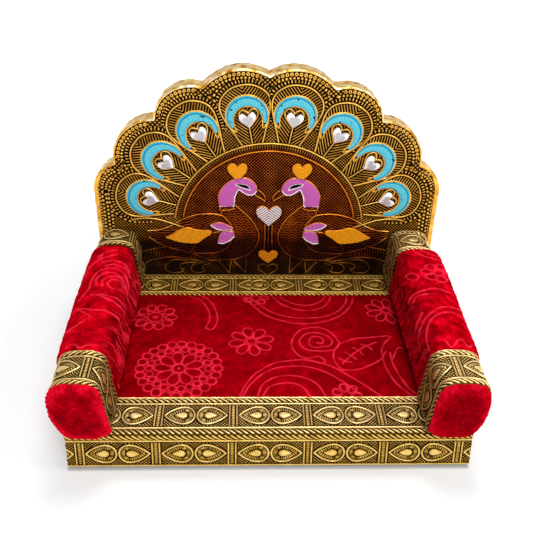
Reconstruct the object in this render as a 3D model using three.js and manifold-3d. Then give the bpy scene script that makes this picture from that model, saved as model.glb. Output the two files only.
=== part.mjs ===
// A small throne for a household deity: a board seat between two rolled, velvet-covered arms,
// in front of a fan-shaped back board faced with embossed foil.
// Lengths are in millimetres. X runs across the seat, Y from front to back, Z up from the table.

import * as THREE from "three";
import { mergeVertices } from "three/addons/utils/BufferGeometryUtils.js";
import Module from "manifold-3d";

const wasm = await Module();
wasm.setup();

// Seat board, and the clearance that keeps glued pieces apart
const seatWidth = 201.6;
const seatDepth = 147.2;
const seatHeight = 20.8;
const fit = 0.3;

// Embossed strip: a rope and a fine line run along each side of a flat band
const stripSheet = 0.6;
const ropeWidth = 3;
const ropeHeight = 0.9;
const grooveWidth = 0.45;
const lineWidth = 1;
const lineHeight = 0.5;
const bandWidth = 15.5;
const stripMargin = 0.35;
const foldWidth = 3.5;
const frontStripFoot = 0.25;

// Pattern of the band: pairs of teardrops between dividers
const patternPitch = 38;
const dropLength = 15.4;
const dropWidth = 11.8;
const dropRelief = 0.75;
const dropDish = 0.3;
const dividerGap = 3.7;
const dividerBar = 0.9;
const dividerRelief = 0.5;
const reliefRoot = 0.25;
const seatStartShare = 0.5;
const armStartShare = 0;

// Arms: a wooden core, padded and covered, that overhangs the seat board's side
const armWidth = 28.2;
const armHeight = 35.6;
const armOverhang = 5;
const armPadding = 2.2;
const velvetThickness = 1.3;
const velvetTuck = 0.6;
const velvetPuff = 0.8;
const armFrontOverhang = 0.9;
const capEdge = 1.2;
const capCrown = 1.8;
const capRound = 2.4;

// Seat pad
const padCrown = 2.1;
const padEdge = 1;
const padCorner = 3;
const padDraw = 0.6;
const padSlope = 24;
const seatTuck = 2.2;

// Back board, its foil face, its edge trim and its rear sheet
const backThickness = 11.6;
const backOverhang = 4.4;
const foilThickness = 1.2;
const trimSheet = 0.6;
const frontLip = 1.8;
const rearLipShare = 0.048;
const lipSheet = 0.4;
const rearSheet = 0.6;

// Relief of the foil face: its main forms are shares of the fan's reach, so they follow the board
const archShare = 0.5356;
const archBand = 4.9;
const ridgeWidth = 1.3;
const ridgeHeight = 0.7;
const featherLengthShare = 0.3654;
const featherWidthShare = 0.2812;
const eyeWidthShare = 0.2296;
const eyeRiseShare = 0.1817;
const eyeBandShare = 0.0555;
const eyeHeight = 0.95;
const plateHeight = 0.9;
const stemWidth = 0.7;

// Heart stones glued over the feathers' eyes
const stoneWidth = 9.6;
const stoneHeight = 9.4;
const stoneGirdle = 0.9;
const stoneCrown = 1.3;
const stoneRiseShare = 0.1626;

// Wood screws
const screwHead = 7;
const screwHeadEdge = 0.5;
const screwHeadDepth = 3;
const screwShank = 3.5;
const screwTip = 4;
const screwSink = 0.4;
const screwGrip = 15;
const armScrewInset = 30;
const backScrewSpacing = 60;
const armBackScrewRise = 18;

// Counts
const armSteps = 16;
const lobeSteps = 7;
const screwSides = 8;
const dropPoints = 8;
const feathersEachSide = 4;
const heartPoints = 12;

// Places that several pieces share
const seatTop = seatHeight;
const armCentre = seatWidth / 2 + armOverhang - armWidth / 2;
const armFoot = seatTop + fit;
const armTop = armFoot + armHeight;
const foilFront = seatDepth - foilThickness;
const trimFront = foilFront - lipSheet;
const armRear = trimFront - fit;
const armFront = -armFrontOverhang;
const coreFront = fit;
const backRear = seatDepth + backThickness;
const backHalf = seatWidth / 2 + backOverhang;
const stripWidth = 2 * (stripMargin + ropeWidth + grooveWidth + lineWidth) + bandWidth;
const innerReach = armCentre - armWidth / 2 - ropeHeight - stripSheet + seatTuck;
const fanCentre = armTop;

const velvetRed = 0xb00018;
const foilGold = 0xb08c3c;
const brightGold = 0xe0b048;
const bareWood = 0xc09a6c;
const sheetDark = 0x2c1c14;
const screwSteel = 0xa8a8a8;
const clearStone = 0xe8ecf0;

const throne = new THREE.Group();

// Adds one named piece with a material of its own.
function add(name, geometry, colour, roughness, metalness) {
  const material = new THREE.MeshStandardMaterial({ color: colour, roughness, metalness });
  const mesh = new THREE.Mesh(geometry, material);
  mesh.name = name;
  throne.add(mesh);
  return mesh;
}

// Turns a closed geometry's faces outwards, whichever way its outline ran.
function outward(geometry) {
  const bare = geometry.clone();
  bare.deleteAttribute("normal");
  bare.deleteAttribute("uv");
  const merged = mergeVertices(bare);
  const place = merged.attributes.position;
  const index = merged.index.array;
  const corner = [0, 1, 2].map(() => new THREE.Vector3());
  let volume = 0;
  for (let i = 0; i < index.length; i += 3) {
    corner.forEach((point, k) => point.fromBufferAttribute(place, index[i + k]));
    volume += corner[0].dot(corner[1].cross(corner[2]));
  }
  if (volume < 0) merged.setIndex([...index].reverse());
  return merged;
}

// A closed body through loops of matching points. The outline is a loop drawn flat, for the end faces.
function loft(loops, outline) {
  const count = outline.length;
  const faces = [];
  for (let ring = 0; ring + 1 < loops.length; ring++) {
    for (let i = 0; i < count; i++) {
      const a = ring * count + i;
      const b = ring * count + ((i + 1) % count);
      faces.push(a, b, b + count, a, b + count, a + count);
    }
  }
  const last = (loops.length - 1) * count;
  const clockwise = THREE.ShapeUtils.isClockWise(outline);
  for (const face of THREE.ShapeUtils.triangulateShape(outline, [])) {
    const [a, b, c] = clockwise ? [...face].reverse() : face;
    faces.push(a, c, b);
    faces.push(last + a, last + b, last + c);
  }
  const geometry = new THREE.BufferGeometry();
  const numbers = loops.flat().flatMap((point) => [point.x, point.y, point.z]);
  geometry.setAttribute("position", new THREE.Float32BufferAttribute(numbers, 3));
  geometry.setIndex(faces);
  return outward(geometry);
}

// A flat plate: an outline in the XZ plane, from one Y to another.
function plate(outline, yFront, yRear) {
  const loops = [yFront, yRear].map((y) => outline.map((p) => new THREE.Vector3(p.x, y, p.y)));
  return loft(loops, outline);
}

function toSolid(geometry) {
  const merged = outward(geometry);
  const vertProperties = new Float32Array(merged.attributes.position.array);
  const triVerts = new Uint32Array(merged.index.array);
  return new wasm.Manifold(new wasm.Mesh({ numProp: 3, vertProperties, triVerts }));
}

function toGeometry(solid) {
  const mesh = solid.getMesh();
  const geometry = new THREE.BufferGeometry();
  geometry.setAttribute("position", new THREE.BufferAttribute(mesh.vertProperties, 3));
  geometry.setIndex(new THREE.BufferAttribute(mesh.triVerts, 1));
  return geometry;
}

function join(geometries) {
  const solids = geometries.map(toSolid);
  return toGeometry(solids.reduce((whole, solid) => whole.add(solid)));
}

function cut(geometry, cutters) {
  const solids = cutters.map(toSolid);
  return toGeometry(solids.reduce((whole, solid) => whole.subtract(solid), toSolid(geometry)));
}

// Points of a heart with a given width and height, its notch up, centred on the origin.
function heartOutline(width, height, count) {
  const lobes = (t) => 13 * Math.cos(t) - 5 * Math.cos(2 * t) - 2 * Math.cos(3 * t) - Math.cos(4 * t);
  const points = [];
  for (let i = 0; i < count; i++) {
    const t = (i / count) * 2 * Math.PI;
    const acrossShare = Math.sin(t) ** 3 / 2;
    const upShare = (lobes(t) + 2.5) / 29;
    points.push(new THREE.Vector2(acrossShare * width, upShare * height));
  }
  return points;
}

// The embossed strip

// Its section: [across, out] pairs, from one edge to the other and back along the flat underside.
function stripSection(lead, tail, leadRope) {
  const section = [];
  let across = 0;
  const flat = (width) => {
    section.push([across, stripSheet]);
    across += width;
  };
  const line = () => {
    section.push([across, stripSheet], [across + lineWidth / 2, stripSheet + lineHeight]);
    across += lineWidth;
  };
  const rope = () => {
    section.push([across, stripSheet]);
    section.push([across + ropeWidth / 4, stripSheet + ropeHeight]);
    section.push([across + ropeWidth * (3 / 4), stripSheet + ropeHeight]);
    across += ropeWidth;
  };
  flat(lead);
  if (leadRope) {
    rope();
    flat(grooveWidth);
  }
  line();
  const bandMiddle = across + bandWidth / 2;
  flat(bandWidth);
  line();
  flat(grooveWidth);
  rope();
  flat(tail);
  section.push([across, stripSheet], [across, 0], [0, 0]);
  return { section, bandMiddle };
}

// A teardrop boss with a raised rim and a dished middle, its tip at the start and its round end ahead.
const dropRimShare = 0.86;
const dropDishShare = 0.5;
const dropFullShare = 0.72;
const dropTaper = 1.5;

function teardrop(place, start, heading, middle) {
  const dropLoop = (share, out) => {
    const loop = [];
    for (let i = 0; i < dropPoints; i++) {
      const t = (i / dropPoints) * 2 * Math.PI;
      const alongShare = (1 - Math.cos(t) * share) / 2;
      const swell = Math.sin(t) * Math.abs(Math.sin(t / 2)) ** dropTaper;
      const acrossShare = swell * dropFullShare * share;
      const along = start + heading * alongShare * dropLength;
      loop.push([along, middle + acrossShare * dropWidth, out]);
    }
    return loop;
  };
  const loops = [
    dropLoop(1, stripSheet - reliefRoot),
    dropLoop(dropRimShare, stripSheet + dropRelief),
    dropLoop(dropDishShare, stripSheet + dropDish),
  ];
  const outline = loops[0].map(([along, across]) => new THREE.Vector2(along, across));
  return loft(loops.map((loop) => loop.map((point) => place(...point))), outline);
}

// A bar across the band.
function divider(place, along, middle) {
  const low = stripSheet - reliefRoot;
  const high = stripSheet + dividerRelief;
  const corners = [[-1, low], [1, low], [1, high], [-1, high]];
  const ends = [middle - bandWidth / 2, middle + bandWidth / 2];
  const barLoop = (across) =>
    corners.map(([side, out]) => place(along + (side * dividerBar) / 2, across, out));
  const outline = corners.map(([side, out]) => new THREE.Vector2((side * dividerBar) / 2, out));
  return loft(ends.map(barLoop), outline);
}

// All the raised pattern on a strip from one place along it to another. The start is the share of a
// repeat from the strip's middle to its first divider.
function pattern(place, from, to, middle, startShare) {
  const pieces = [];
  const centre = (from + to) / 2;
  const half = (to - from) / 2;
  const reach = Math.ceil(half / patternPitch) + 1;
  for (let k = -reach; k <= reach; k++) {
    const offset = (k + startShare) * patternPitch;
    for (const side of [-1, 1]) {
      const bar = offset + (side * dividerGap) / 2;
      const drop = offset + side * (dividerGap / 2 + dividerBar);
      if (Math.abs(bar) + dividerBar < half) pieces.push(divider(place, centre + bar, middle));
      const roundEnd = drop + side * dropLength;
      const fits = Math.abs(drop) < half && Math.abs(roundEnd) < half;
      if (fits) pieces.push(teardrop(place, centre + drop, side, middle));
    }
  }
  return pieces;
}

// A plain strip on a path: place(along, across, out) gives each point, stops are the places along it.
function plainStrip(place, stops, profile) {
  const outline = profile.section.map(([across, out]) => new THREE.Vector2(across, out));
  const loops = stops.map((along) => profile.section.map(([across, out]) => place(along, across, out)));
  return loft(loops, outline);
}

// A strip with its pattern.
function strip(place, stops, profile, startShare) {
  const raised = pattern(place, stops[0], stops.at(-1), profile.bandMiddle, startShare);
  return join([plainStrip(place, stops, profile), ...raised]);
}

// Screws

// Half the section of a countersunk screw from its head's face to its tip, grown for its hole.
function screwProfile(grow) {
  const head = screwHead / 2 + grow;
  const shank = screwShank / 2 + grow;
  return (length, lead) => [
    new THREE.Vector2(0, -lead),
    new THREE.Vector2(head, -lead),
    new THREE.Vector2(head, screwHeadEdge + grow),
    new THREE.Vector2(shank, screwHeadDepth + grow),
    new THREE.Vector2(shank, length - screwTip + grow),
    new THREE.Vector2(0, length + grow),
  ];
}

// A screw's body, or the hole for it when grow and lead are more than zero, head first along Z.
function screwBody(length, grow, lead) {
  const turned = new THREE.LatheGeometry(screwProfile(grow)(length, lead), screwSides);
  return outward(turned.rotateX(Math.PI / 2));
}

// Screws up through the seat board into the arms, then forwards through the back board.
const upLength = seatTop - screwSink + screwGrip;
const forwardLength = backThickness - screwSink + screwGrip;
const armScrewPlaces = [-1, 1].flatMap((side) =>
  [armScrewInset, armRear - armScrewInset].map((y) => ({ side, x: side * armCentre, y })),
);
const backScrewPlaces = [
  ...[-1, 0, 1].map((step) => ({ x: step * backScrewSpacing, z: seatHeight / 2 })),
  ...[-1, 1].map((side) => ({ x: side * armCentre, z: seatTop + armBackScrewRise })),
];

function upScrew(spot, grow, lead) {
  return screwBody(upLength, grow, lead).translate(spot.x, spot.y, screwSink);
}

function forwardScrew(spot, grow, lead) {
  const body = screwBody(forwardLength, grow, lead).rotateX(Math.PI / 2);
  return body.translate(spot.x, backRear - screwSink, spot.z);
}

const upHoles = armScrewPlaces.map((spot) => upScrew(spot, fit, screwSink * 2));
const forwardHoles = backScrewPlaces.map((spot) => forwardScrew(spot, fit, screwSink * 2));

armScrewPlaces.forEach((spot, i) => {
  add(`arm_screw_${i + 1}`, upScrew(spot, 0, 0), screwSteel, 0.35, 1);
});
backScrewPlaces.forEach((spot, i) => {
  add(`back_screw_${i + 1}`, forwardScrew(spot, 0, 0), screwSteel, 0.35, 1);
});

// Seat board with its screw holes
const seatBlank = new THREE.BoxGeometry(seatWidth, seatDepth, seatHeight);
seatBlank.translate(0, seatDepth / 2, seatHeight / 2);
add("seat_board", cut(seatBlank, [...upHoles, ...forwardHoles]), bareWood, 0.7, 0);

// Strips on the seat board's front and side faces: their lower rope is folded away under the board
const uprightProfile = stripSection(frontStripFoot, 0, false);
const uprightFoot = seatTop + stripSheet - uprightProfile.section.at(-2)[0];
const frontHalf = seatWidth / 2 + stripSheet;
const onFront = (along, across, out) => new THREE.Vector3(along, -out, uprightFoot + across);
const frontStops = [-frontHalf, frontHalf];
const frontStrip = strip(onFront, frontStops, uprightProfile, seatStartShare);
add("seat_front_strip", frontStrip, foilGold, 0.4, 0.9);

for (const side of [-1, 1]) {
  const onSide = (along, across, out) =>
    new THREE.Vector3(side * (seatWidth / 2 + out), along, uprightFoot + across);
  const name = side < 0 ? "seat_left_strip" : "seat_right_strip";
  const sideStrip = strip(onSide, [0, foilFront - fit], uprightProfile, seatStartShare);
  add(name, sideStrip, foilGold, 0.4, 0.9);
}

// Strips on top of the seat board, across its front and its rear
const topFrontProfile = stripSection(stripMargin, foldWidth, true);
const topRearProfile = stripSection(stripMargin, stripMargin, true);
const topFrontDepth = stripWidth - stripMargin + foldWidth;
const topRearStart = foilFront - fit - stripWidth;
const onTop = (start) => (along, across, out) => new THREE.Vector3(along, start + across, seatTop + out);
const topStops = [-innerReach, innerReach];
const topFrontStrip = strip(onTop(fit), topStops, topFrontProfile, seatStartShare);
const topRearStrip = strip(onTop(topRearStart), topStops, topRearProfile, seatStartShare);
add("seat_top_front_strip", topFrontStrip, foilGold, 0.4, 0.9);
add("seat_top_rear_strip", topRearStrip, foilGold, 0.4, 0.9);

// Seat pad: drawn in at its foot, full at its edge and crowned in the middle

// A rounded rectangle about the origin: the points run round from the right-hand side.
function roundedLoop(halfX, halfY, radius) {
  const cornerSteps = 4;
  const sideSteps = 6;
  const turns = [[1, 1], [-1, 1], [-1, -1], [1, -1]];
  const points = [];
  turns.forEach(([sx, sy], k) => {
    for (let i = 0; i <= cornerSteps; i++) {
      const angle = (k + i / cornerSteps) * (Math.PI / 2);
      const x = sx * (halfX - radius) + radius * Math.cos(angle);
      const y = sy * (halfY - radius) + radius * Math.sin(angle);
      points.push(new THREE.Vector2(x, y));
    }
    const [nx, ny] = turns[(k + 1) % turns.length];
    const angle = (k + 1) * (Math.PI / 2);
    const next = new THREE.Vector2(nx * (halfX - radius), ny * (halfY - radius));
    next.add(new THREE.Vector2(Math.cos(angle), Math.sin(angle)).multiplyScalar(radius));
    const here = points.at(-1).clone();
    for (let i = 1; i < sideSteps; i++) points.push(here.clone().lerp(next, i / sideSteps));
  });
  return points;
}

const padFront = fit + topFrontDepth + fit;
const padRear = topRearStart - fit;
const padHalfX = innerReach - fit;
const padHalfY = (padRear - padFront) / 2;
const padSlopeShares = [0, 0.25, 0.6, 1];
const padRiseShares = [0, 0.62, 0.92, 1];
const padRings = [
  [padDraw, 0],
  [0, padEdge / 2],
  ...padSlopeShares.map((share, i) => [
    padDraw + padSlope * share,
    padEdge + (padCrown - padEdge) * padRiseShares[i],
  ]),
];
const padLoops = padRings.map(([inset, rise]) =>
  roundedLoop(padHalfX - inset, padHalfY - inset, padCorner).map(
    (p) => new THREE.Vector3(p.x, padFront + padHalfY + p.y, seatTop + rise),
  ),
);
const padOutline = roundedLoop(padHalfX, padHalfY, padCorner);
add("seat_pad", loft(padLoops, padOutline), velvetRed, 0.95, 0);

// Arms

// The covered arm's section as shares of its width and height, from the inner foot over the top
// to the outer foot: a soft bulge low on the inside, a flat-topped roll and a fuller outside.
const armSectionShares = [
  [0.26, 0.018], [0.11, 0.06], [0.02, 0.125], [0, 0.22], [0.03, 0.34], [0.06, 0.5], [0.088, 0.67],
  [0.112, 0.83], [0.15, 0.905], [0.235, 0.965], [0.4, 1], [0.57, 1], [0.74, 0.985], [0.875, 0.94],
  [0.93, 0.875], [0.972, 0.775], [1, 0.64], [0.995, 0.48], [0.965, 0.32], [0.9, 0.18],
  [0.805, 0.07], [0.69, 0.016],
];
const armFootShares = [0.31, 0.64];

const armCurve = new THREE.CatmullRomCurve3(
  armSectionShares.map(([across, up]) => new THREE.Vector3(across * armWidth, up * armHeight, 0)),
  false,
  "centripetal",
);
const armLength = armCurve.getLength();

// A point of the section at one of its even stops, moved out from the surface; x is from the inner side.
function armStop(stop, out) {
  const point = armCurve.getPointAt(stop / armSteps);
  const tangent = armCurve.getTangentAt(stop / armSteps);
  return new THREE.Vector2(point.x - tangent.y * out, point.y + tangent.x * out);
}

// A point at any share of the section's length, on the straight between the stops beside it.
function armPoint(share, out) {
  const held = THREE.MathUtils.clamp(share, 0, 1) * armSteps;
  const stop = Math.min(Math.floor(held), armSteps - 1);
  return armStop(stop, out).lerp(armStop(stop + 1, out), held - stop);
}

// The same point in the throne, on the left (-1) or right (+1) arm.
function onArm(side, share, out, y) {
  const point = armPoint(share, out);
  const x = side * (armCentre - armWidth / 2 + point.x);
  return new THREE.Vector3(x, y, armFoot + point.y);
}

// Even stops along the section between two shares of it, the same ones for every layer.
function armShares(from, to) {
  const stops = [];
  for (let i = 0; i <= armSteps; i++) stops.push(i / armSteps);
  return [from, ...stops.filter((share) => share > from && share < to), to];
}

// A solid of the arm's section, from one Y to another, with any more points of its foot.
function armBlock(side, out, foot, yFront, yRear) {
  const outline = armShares(0, 1).map((share) => armPoint(share, out));
  const closed = [...outline, ...foot].map(
    (p) => new THREE.Vector2(side * (armCentre - armWidth / 2 + p.x), armFoot + p.y),
  );
  return plate(closed, yFront, yRear);
}

// Core: the section inside the padding, with a flat foot down to the seat board
function armCore(side) {
  const down = seatTop - armFoot;
  const [inner, outer] = armFootShares.map((share) => new THREE.Vector2(share * armWidth, down));
  const blank = armBlock(side, -armPadding, [outer, inner], coreFront, armRear);
  return cut(blank, [...upHoles, ...forwardHoles]);
}

// Velvet sleeve: drawn in under the strips at its ends and puffed out between them
const sleeveLow = velvetTuck + velvetThickness;
const sleeveStopShares = [0, 0.17, 0.21, 0.3, 0.42, 0.5, 0.58, 0.7, 0.8, 0.84, 1];
const sleevePuffShares = [0, 0, 0.55, 0.85, 1, 1, 1, 0.85, 0.55, 0, 0];
const sleeveEndShares = [0.02, 0.98];
const sleeveDrawRate = 3;

function armVelvet(side) {
  const shares = armShares(...sleeveEndShares);
  const sleeveLoop = (stop, puffShare) => {
    const y = armFront + (armRear - armFront) * stop;
    const outer = shares.map((share) => {
      const drawIn = Math.min(1, Math.sin(share * Math.PI) * sleeveDrawRate);
      return onArm(side, share, -velvetTuck + velvetPuff * puffShare * drawIn, y);
    });
    const inner = shares.map((share) => onArm(side, share, -sleeveLow, y));
    return [...outer, ...inner.reverse()];
  };
  const loops = sleeveStopShares.map((stop, i) => sleeveLoop(stop, sleevePuffShares[i]));
  const outline = loops[0].map((p) => new THREE.Vector2(p.x, p.z));
  return loft(loops, outline);
}

// Front cap: a padded velvet face that fills the arm's end inside the strip
const capInsetShares = [0, 0.3, 1, 2.2];
const capCrownShares = [0, 0.45, 0.8, 1];

function armCap(side) {
  const capBack = armFront - fit;
  const rings = [
    [capRound, coreFront - fit],
    [capRound, capBack],
    [velvetTuck, capBack - capEdge / 3],
    ...capInsetShares.map((share, i) => [
      velvetTuck + capRound * share,
      capBack - capEdge - capCrown * capCrownShares[i],
    ]),
  ];
  const shares = armShares(...sleeveEndShares);
  const loops = rings.map(([inset, y]) => shares.map((share) => onArm(side, share, -inset, y)));
  const outline = loops[0].map((p) => new THREE.Vector2(p.x, p.z));
  return loft(loops, outline);
}

// Strips that saddle the arm at its front and rear, from the inner foot to the outer foot
const saddleShares = [0.04, 0.96];
const saddleProfile = stripSection(stripMargin, stripMargin, true);

// The arm's own block is cut away, because a flat-footed teardrop dips through the curved strip.
function armStrip(side, start) {
  const base = -fit;
  const place = (along, across, out) => onArm(side, along / armLength, base + out, start + across);
  const stops = armShares(...saddleShares).map((share) => share * armLength);
  const inside = armBlock(side, base, [], start - fit, start + stripWidth + fit);
  return cut(strip(place, stops, saddleProfile, armStartShare), [inside]);
}

const frontSaddle = armFront - fit - capEdge;
const rearSaddle = armRear - stripWidth;
for (const side of [-1, 1]) {
  const name = side < 0 ? "left" : "right";
  add(`${name}_arm_core`, armCore(side), bareWood, 0.7, 0);
  add(`${name}_arm_velvet`, armVelvet(side), velvetRed, 0.95, 0);
  add(`${name}_arm_front_cap`, armCap(side), velvetRed, 0.95, 0);
  add(`${name}_arm_front_strip`, armStrip(side, frontSaddle), foilGold, 0.4, 0.9);
  add(`${name}_arm_rear_strip`, armStrip(side, rearSaddle), foilGold, 0.4, 0.9);
}

// Back board

// The fan's scallops on one side, one over each feather, from the middle down to the side.
// Each is a circle: its centre's angle from upright, its reach and its radius as shares of the fan.
const lobeAngles = [11.5, 32.3, 54.5, 72.9];
const lobeReachShares = [0.715, 0.807, 0.791, 0.877];
const lobeRadiusShares = [0.28, 0.204, 0.232, 0.168];
const lastLobe = THREE.MathUtils.degToRad(lobeAngles.at(-1));
const fanReach = backHalf / (lobeReachShares.at(-1) * Math.sin(lastLobe) + lobeRadiusShares.at(-1));
const rearLip = fanReach * rearLipShare;
const archRadius = fanReach * archShare;
const featherLength = fanReach * featherLengthShare;
const featherWidth = fanReach * featherWidthShare;
const eyeWidth = fanReach * eyeWidthShare;
const eyeRise = fanReach * eyeRiseShare;
const eyeBand = fanReach * eyeBandShare;
const stoneRise = fanReach * stoneRiseShare;

function lobeCircle(k, grow) {
  const angle = THREE.MathUtils.degToRad(lobeAngles[k]);
  const reach = lobeReachShares[k] * fanReach;
  const centre = new THREE.Vector2(reach * Math.sin(angle), fanCentre + reach * Math.cos(angle));
  return { centre, radius: lobeRadiusShares[k] * fanReach + grow };
}

// Where two scallops meet, on the outside of the fan.
function meeting(a, b) {
  const between = b.centre.clone().sub(a.centre);
  const apart = between.length();
  const along = (apart ** 2 + a.radius ** 2 - b.radius ** 2) / (2 * apart);
  const off = Math.sqrt(a.radius ** 2 - along ** 2);
  const unit = between.divideScalar(apart);
  const sides = [-1, 1].map(
    (s) =>
      new THREE.Vector2(
        a.centre.x + unit.x * along - s * unit.y * off,
        a.centre.y + unit.y * along + s * unit.x * off,
      ),
  );
  const fromFan = (p) => Math.hypot(p.x, p.y - fanCentre);
  return fromFan(sides[0]) > fromFan(sides[1]) ? sides[0] : sides[1];
}

// One scallop's arc between two angles, without its last point.
function arc(circle, from, to, steps) {
  const points = [];
  for (let i = 0; i < steps; i++) {
    const angle = from + ((to - from) * i) / steps;
    const x = circle.centre.x + circle.radius * Math.cos(angle);
    points.push(new THREE.Vector2(x, circle.centre.y + circle.radius * Math.sin(angle)));
  }
  return points;
}

// The scalloped part of the right half, from the side to the middle notch.
function scallops(grow, steps) {
  const circles = lobeAngles.map((_, k) => lobeCircle(k, grow)).reverse();
  const mirrored = { centre: circles.at(-1).centre.clone(), radius: circles.at(-1).radius };
  mirrored.centre.x *= -1;
  const bearing = (circle, p) => Math.atan2(p.y - circle.centre.y, p.x - circle.centre.x);
  const points = [];
  let from = 0;
  circles.forEach((circle, k) => {
    const next = circles[k + 1] ?? mirrored;
    const meet = meeting(circle, next);
    points.push(...arc(circle, from, bearing(circle, meet), steps));
    from = bearing(next, meet);
  });
  points.push(meeting(circles.at(-1), mirrored));
  return points;
}

// The whole outline of the back, grown outwards, down to a given foot.
function backOutline(grow, foot) {
  const right = [new THREE.Vector2(backHalf + grow, foot), ...scallops(grow, lobeSteps)];
  const left = right.slice(0, -1).reverse();
  return [...right, ...left.map((p) => new THREE.Vector2(-p.x, p.y))];
}

const boardBlank = plate(backOutline(0, 0), seatDepth, backRear);
add("back_board", cut(boardBlank, forwardHoles), bareWood, 0.7, 0);

// Edge trim: a folded channel of bright foil round the board's edge, with a lip on each face
function edgeTrim() {
  const outer = fit + trimSheet;
  const rear = backRear + lipSheet;
  const channel = [
    [outer, trimFront], [outer, rear], [-rearLip, rear], [-rearLip, backRear],
    [fit, backRear], [fit, foilFront], [-frontLip, foilFront], [-frontLip, trimFront],
  ];
  const runs = channel.map(([grow]) => backOutline(grow, fit));
  const loops = runs[0].map((_, i) =>
    channel.map(([, y], k) => new THREE.Vector3(runs[k][i].x, y, runs[k][i].y)),
  );
  const outline = channel.map(([grow, y]) => new THREE.Vector2(grow, y));
  return loft(loops, outline);
}
add("back_edge_trim", edgeTrim(), brightGold, 0.3, 1);

const rearOutline = backOutline(-rearLip - fit, fit);
add("back_rear_sheet", plate(rearOutline, backRear, backRear + rearSheet), sheetDark, 0.8, 0);

// Foil face: the panel and all that is embossed on it

// A place on the panel: across and up from the fan's centre, and out towards the front.
function onPanel(across, up, out) {
  return new THREE.Vector3(across, foilFront - out, fanCentre + up);
}

// A raised line of triangular section along points given from the fan's centre.
function ridge(points, width) {
  const loops = points.map((point, i) => {
    const before = points[Math.max(0, i - 1)];
    const after = points[Math.min(points.length - 1, i + 1)];
    const tangent = after.clone().sub(before).normalize();
    const half = width / 2;
    return [
      onPanel(point.x - tangent.y * half, point.y + tangent.x * half, -reliefRoot),
      onPanel(point.x, point.y, ridgeHeight * (width / ridgeWidth)),
      onPanel(point.x + tangent.y * half, point.y - tangent.x * half, -reliefRoot),
    ];
  });
  const outline = [new THREE.Vector2(-1, 0), new THREE.Vector2(0, 1), new THREE.Vector2(1, 0)];
  return loft(loops, outline);
}

// A raised flat shape with upright sides.
function boss(outline, height) {
  const loops = [-reliefRoot, height].map((out) => outline.map((p) => onPanel(p.x, p.y, out)));
  return loft(loops, outline);
}

// A smooth run through shares of the arch's inner radius, mirrored for the left side.
const archInner = archRadius - archBand / 2;
function drawn(shares, side, steps) {
  const points = shares.map(([across, up]) => new THREE.Vector2(side * across * archInner, up * archInner));
  return new THREE.SplineCurve(points).getPoints(steps);
}

// Arch: two concentric lines
const archFootAngle = 4;
function archLine(radius) {
  const steps = 24;
  const points = [];
  for (let i = 0; i <= steps; i++) {
    const angle = THREE.MathUtils.degToRad(archFootAngle + ((180 - 2 * archFootAngle) * i) / steps);
    points.push(new THREE.Vector2(radius * Math.cos(angle), radius * Math.sin(angle)));
  }
  return ridge(points, ridgeWidth);
}

// Feather: a loop that springs from the arch, a crescent eye in it and a stem to the stone
const featherAngles = [11.3, 33.3, 54, 74];
const loopAlongShares = [-0.02, 0.2, 0.43, 0.64, 0.8, 0.92, 0.985, 1];
const loopAcrossShares = [0.38, 0.6, 0.85, 1, 0.93, 0.66, 0.34, 0];
const archOuter = archRadius + archBand / 2;

// A place on a feather: across it and out from the arch's outer line, in the fan's own directions.
function onFeather(angle, across, along) {
  const reach = archOuter + along;
  const x = reach * Math.sin(angle) + across * Math.cos(angle);
  return new THREE.Vector2(x, reach * Math.cos(angle) - across * Math.sin(angle));
}

function featherLoop(angle) {
  const half = loopAlongShares.map((along, i) => [along, loopAcrossShares[i]]);
  const other = half.slice(0, -1).reverse().map(([along, across]) => [along, -across]);
  const points = [...half, ...other].map(([along, across]) =>
    onFeather(angle, (across * featherWidth) / 2, along * featherLength),
  );
  return ridge(new THREE.SplineCurve(points).getPoints(16), ridgeWidth);
}

// The eye's crescent: a band along an arc, widest at its crown, that thins to two points.
const eyeSweepAngle = 130;
const eyeTipShare = 0.98;
const eyeSwell = 0.6;

function crescent(angle) {
  const steps = 7;
  const sweep = THREE.MathUtils.degToRad(eyeSweepAngle);
  const outer = [];
  const inner = [];
  for (let i = 0; i <= steps; i++) {
    const turn = -sweep + (2 * sweep * i) / steps;
    const band = eyeBand * Math.cos((turn / sweep) * (Math.PI / 2) * eyeTipShare) ** eyeSwell;
    const radius = eyeWidth / 2;
    outer.push(onFeather(angle, radius * Math.sin(turn), eyeRise + radius * Math.cos(turn)));
    const short = radius - band;
    inner.push(onFeather(angle, short * Math.sin(turn), eyeRise + short * Math.cos(turn)));
  }
  return boss([...outer, ...inner.reverse()], eyeHeight);
}

function stem(angle) {
  const tip = stoneRise - stoneHeight / 2 - fit;
  const points = [onFeather(angle, 0, 0), onFeather(angle, 0, tip)];
  return ridge(points, ridgeWidth);
}

// Peacocks: two birds that face each other, each drawn in shares of the arch's inner radius
const headShares = [
  [0.567, 0.305], [0.578, 0.427], [0.542, 0.525], [0.476, 0.603], [0.398, 0.647], [0.332, 0.666],
  [0.261, 0.665], [0.192, 0.626], [0.15, 0.563], [0.147, 0.504], [0.179, 0.464], [0.233, 0.455],
  [0.294, 0.485], [0.346, 0.524], [0.375, 0.475], [0.396, 0.406], [0.409, 0.305],
];
const upperBeakShares = [[0.15, 0.528], [0.085, 0.484], [0.045, 0.42], [0.048, 0.374]];
const lowerBeakShares = [[0.166, 0.454], [0.048, 0.374]];
const collarShares = [[0.395, 0.272], [0.475, 0.25], [0.56, 0.255]];
const chestShares = [
  [0.405, 0.33], [0.313, 0.244], [0.208, 0.131], [0.147, 0.026], [0.117, -0.058], [0.115, -0.143],
  [0.145, -0.239], [0.194, -0.315], [0.261, -0.37], [0.347, -0.408], [0.433, -0.43], [0.69, -0.43],
  [0.844, -0.374], [0.94, -0.332], [1.073, -0.293], [1.2, -0.25], [1.3, -0.195], [1.4, -0.116],
];
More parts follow.
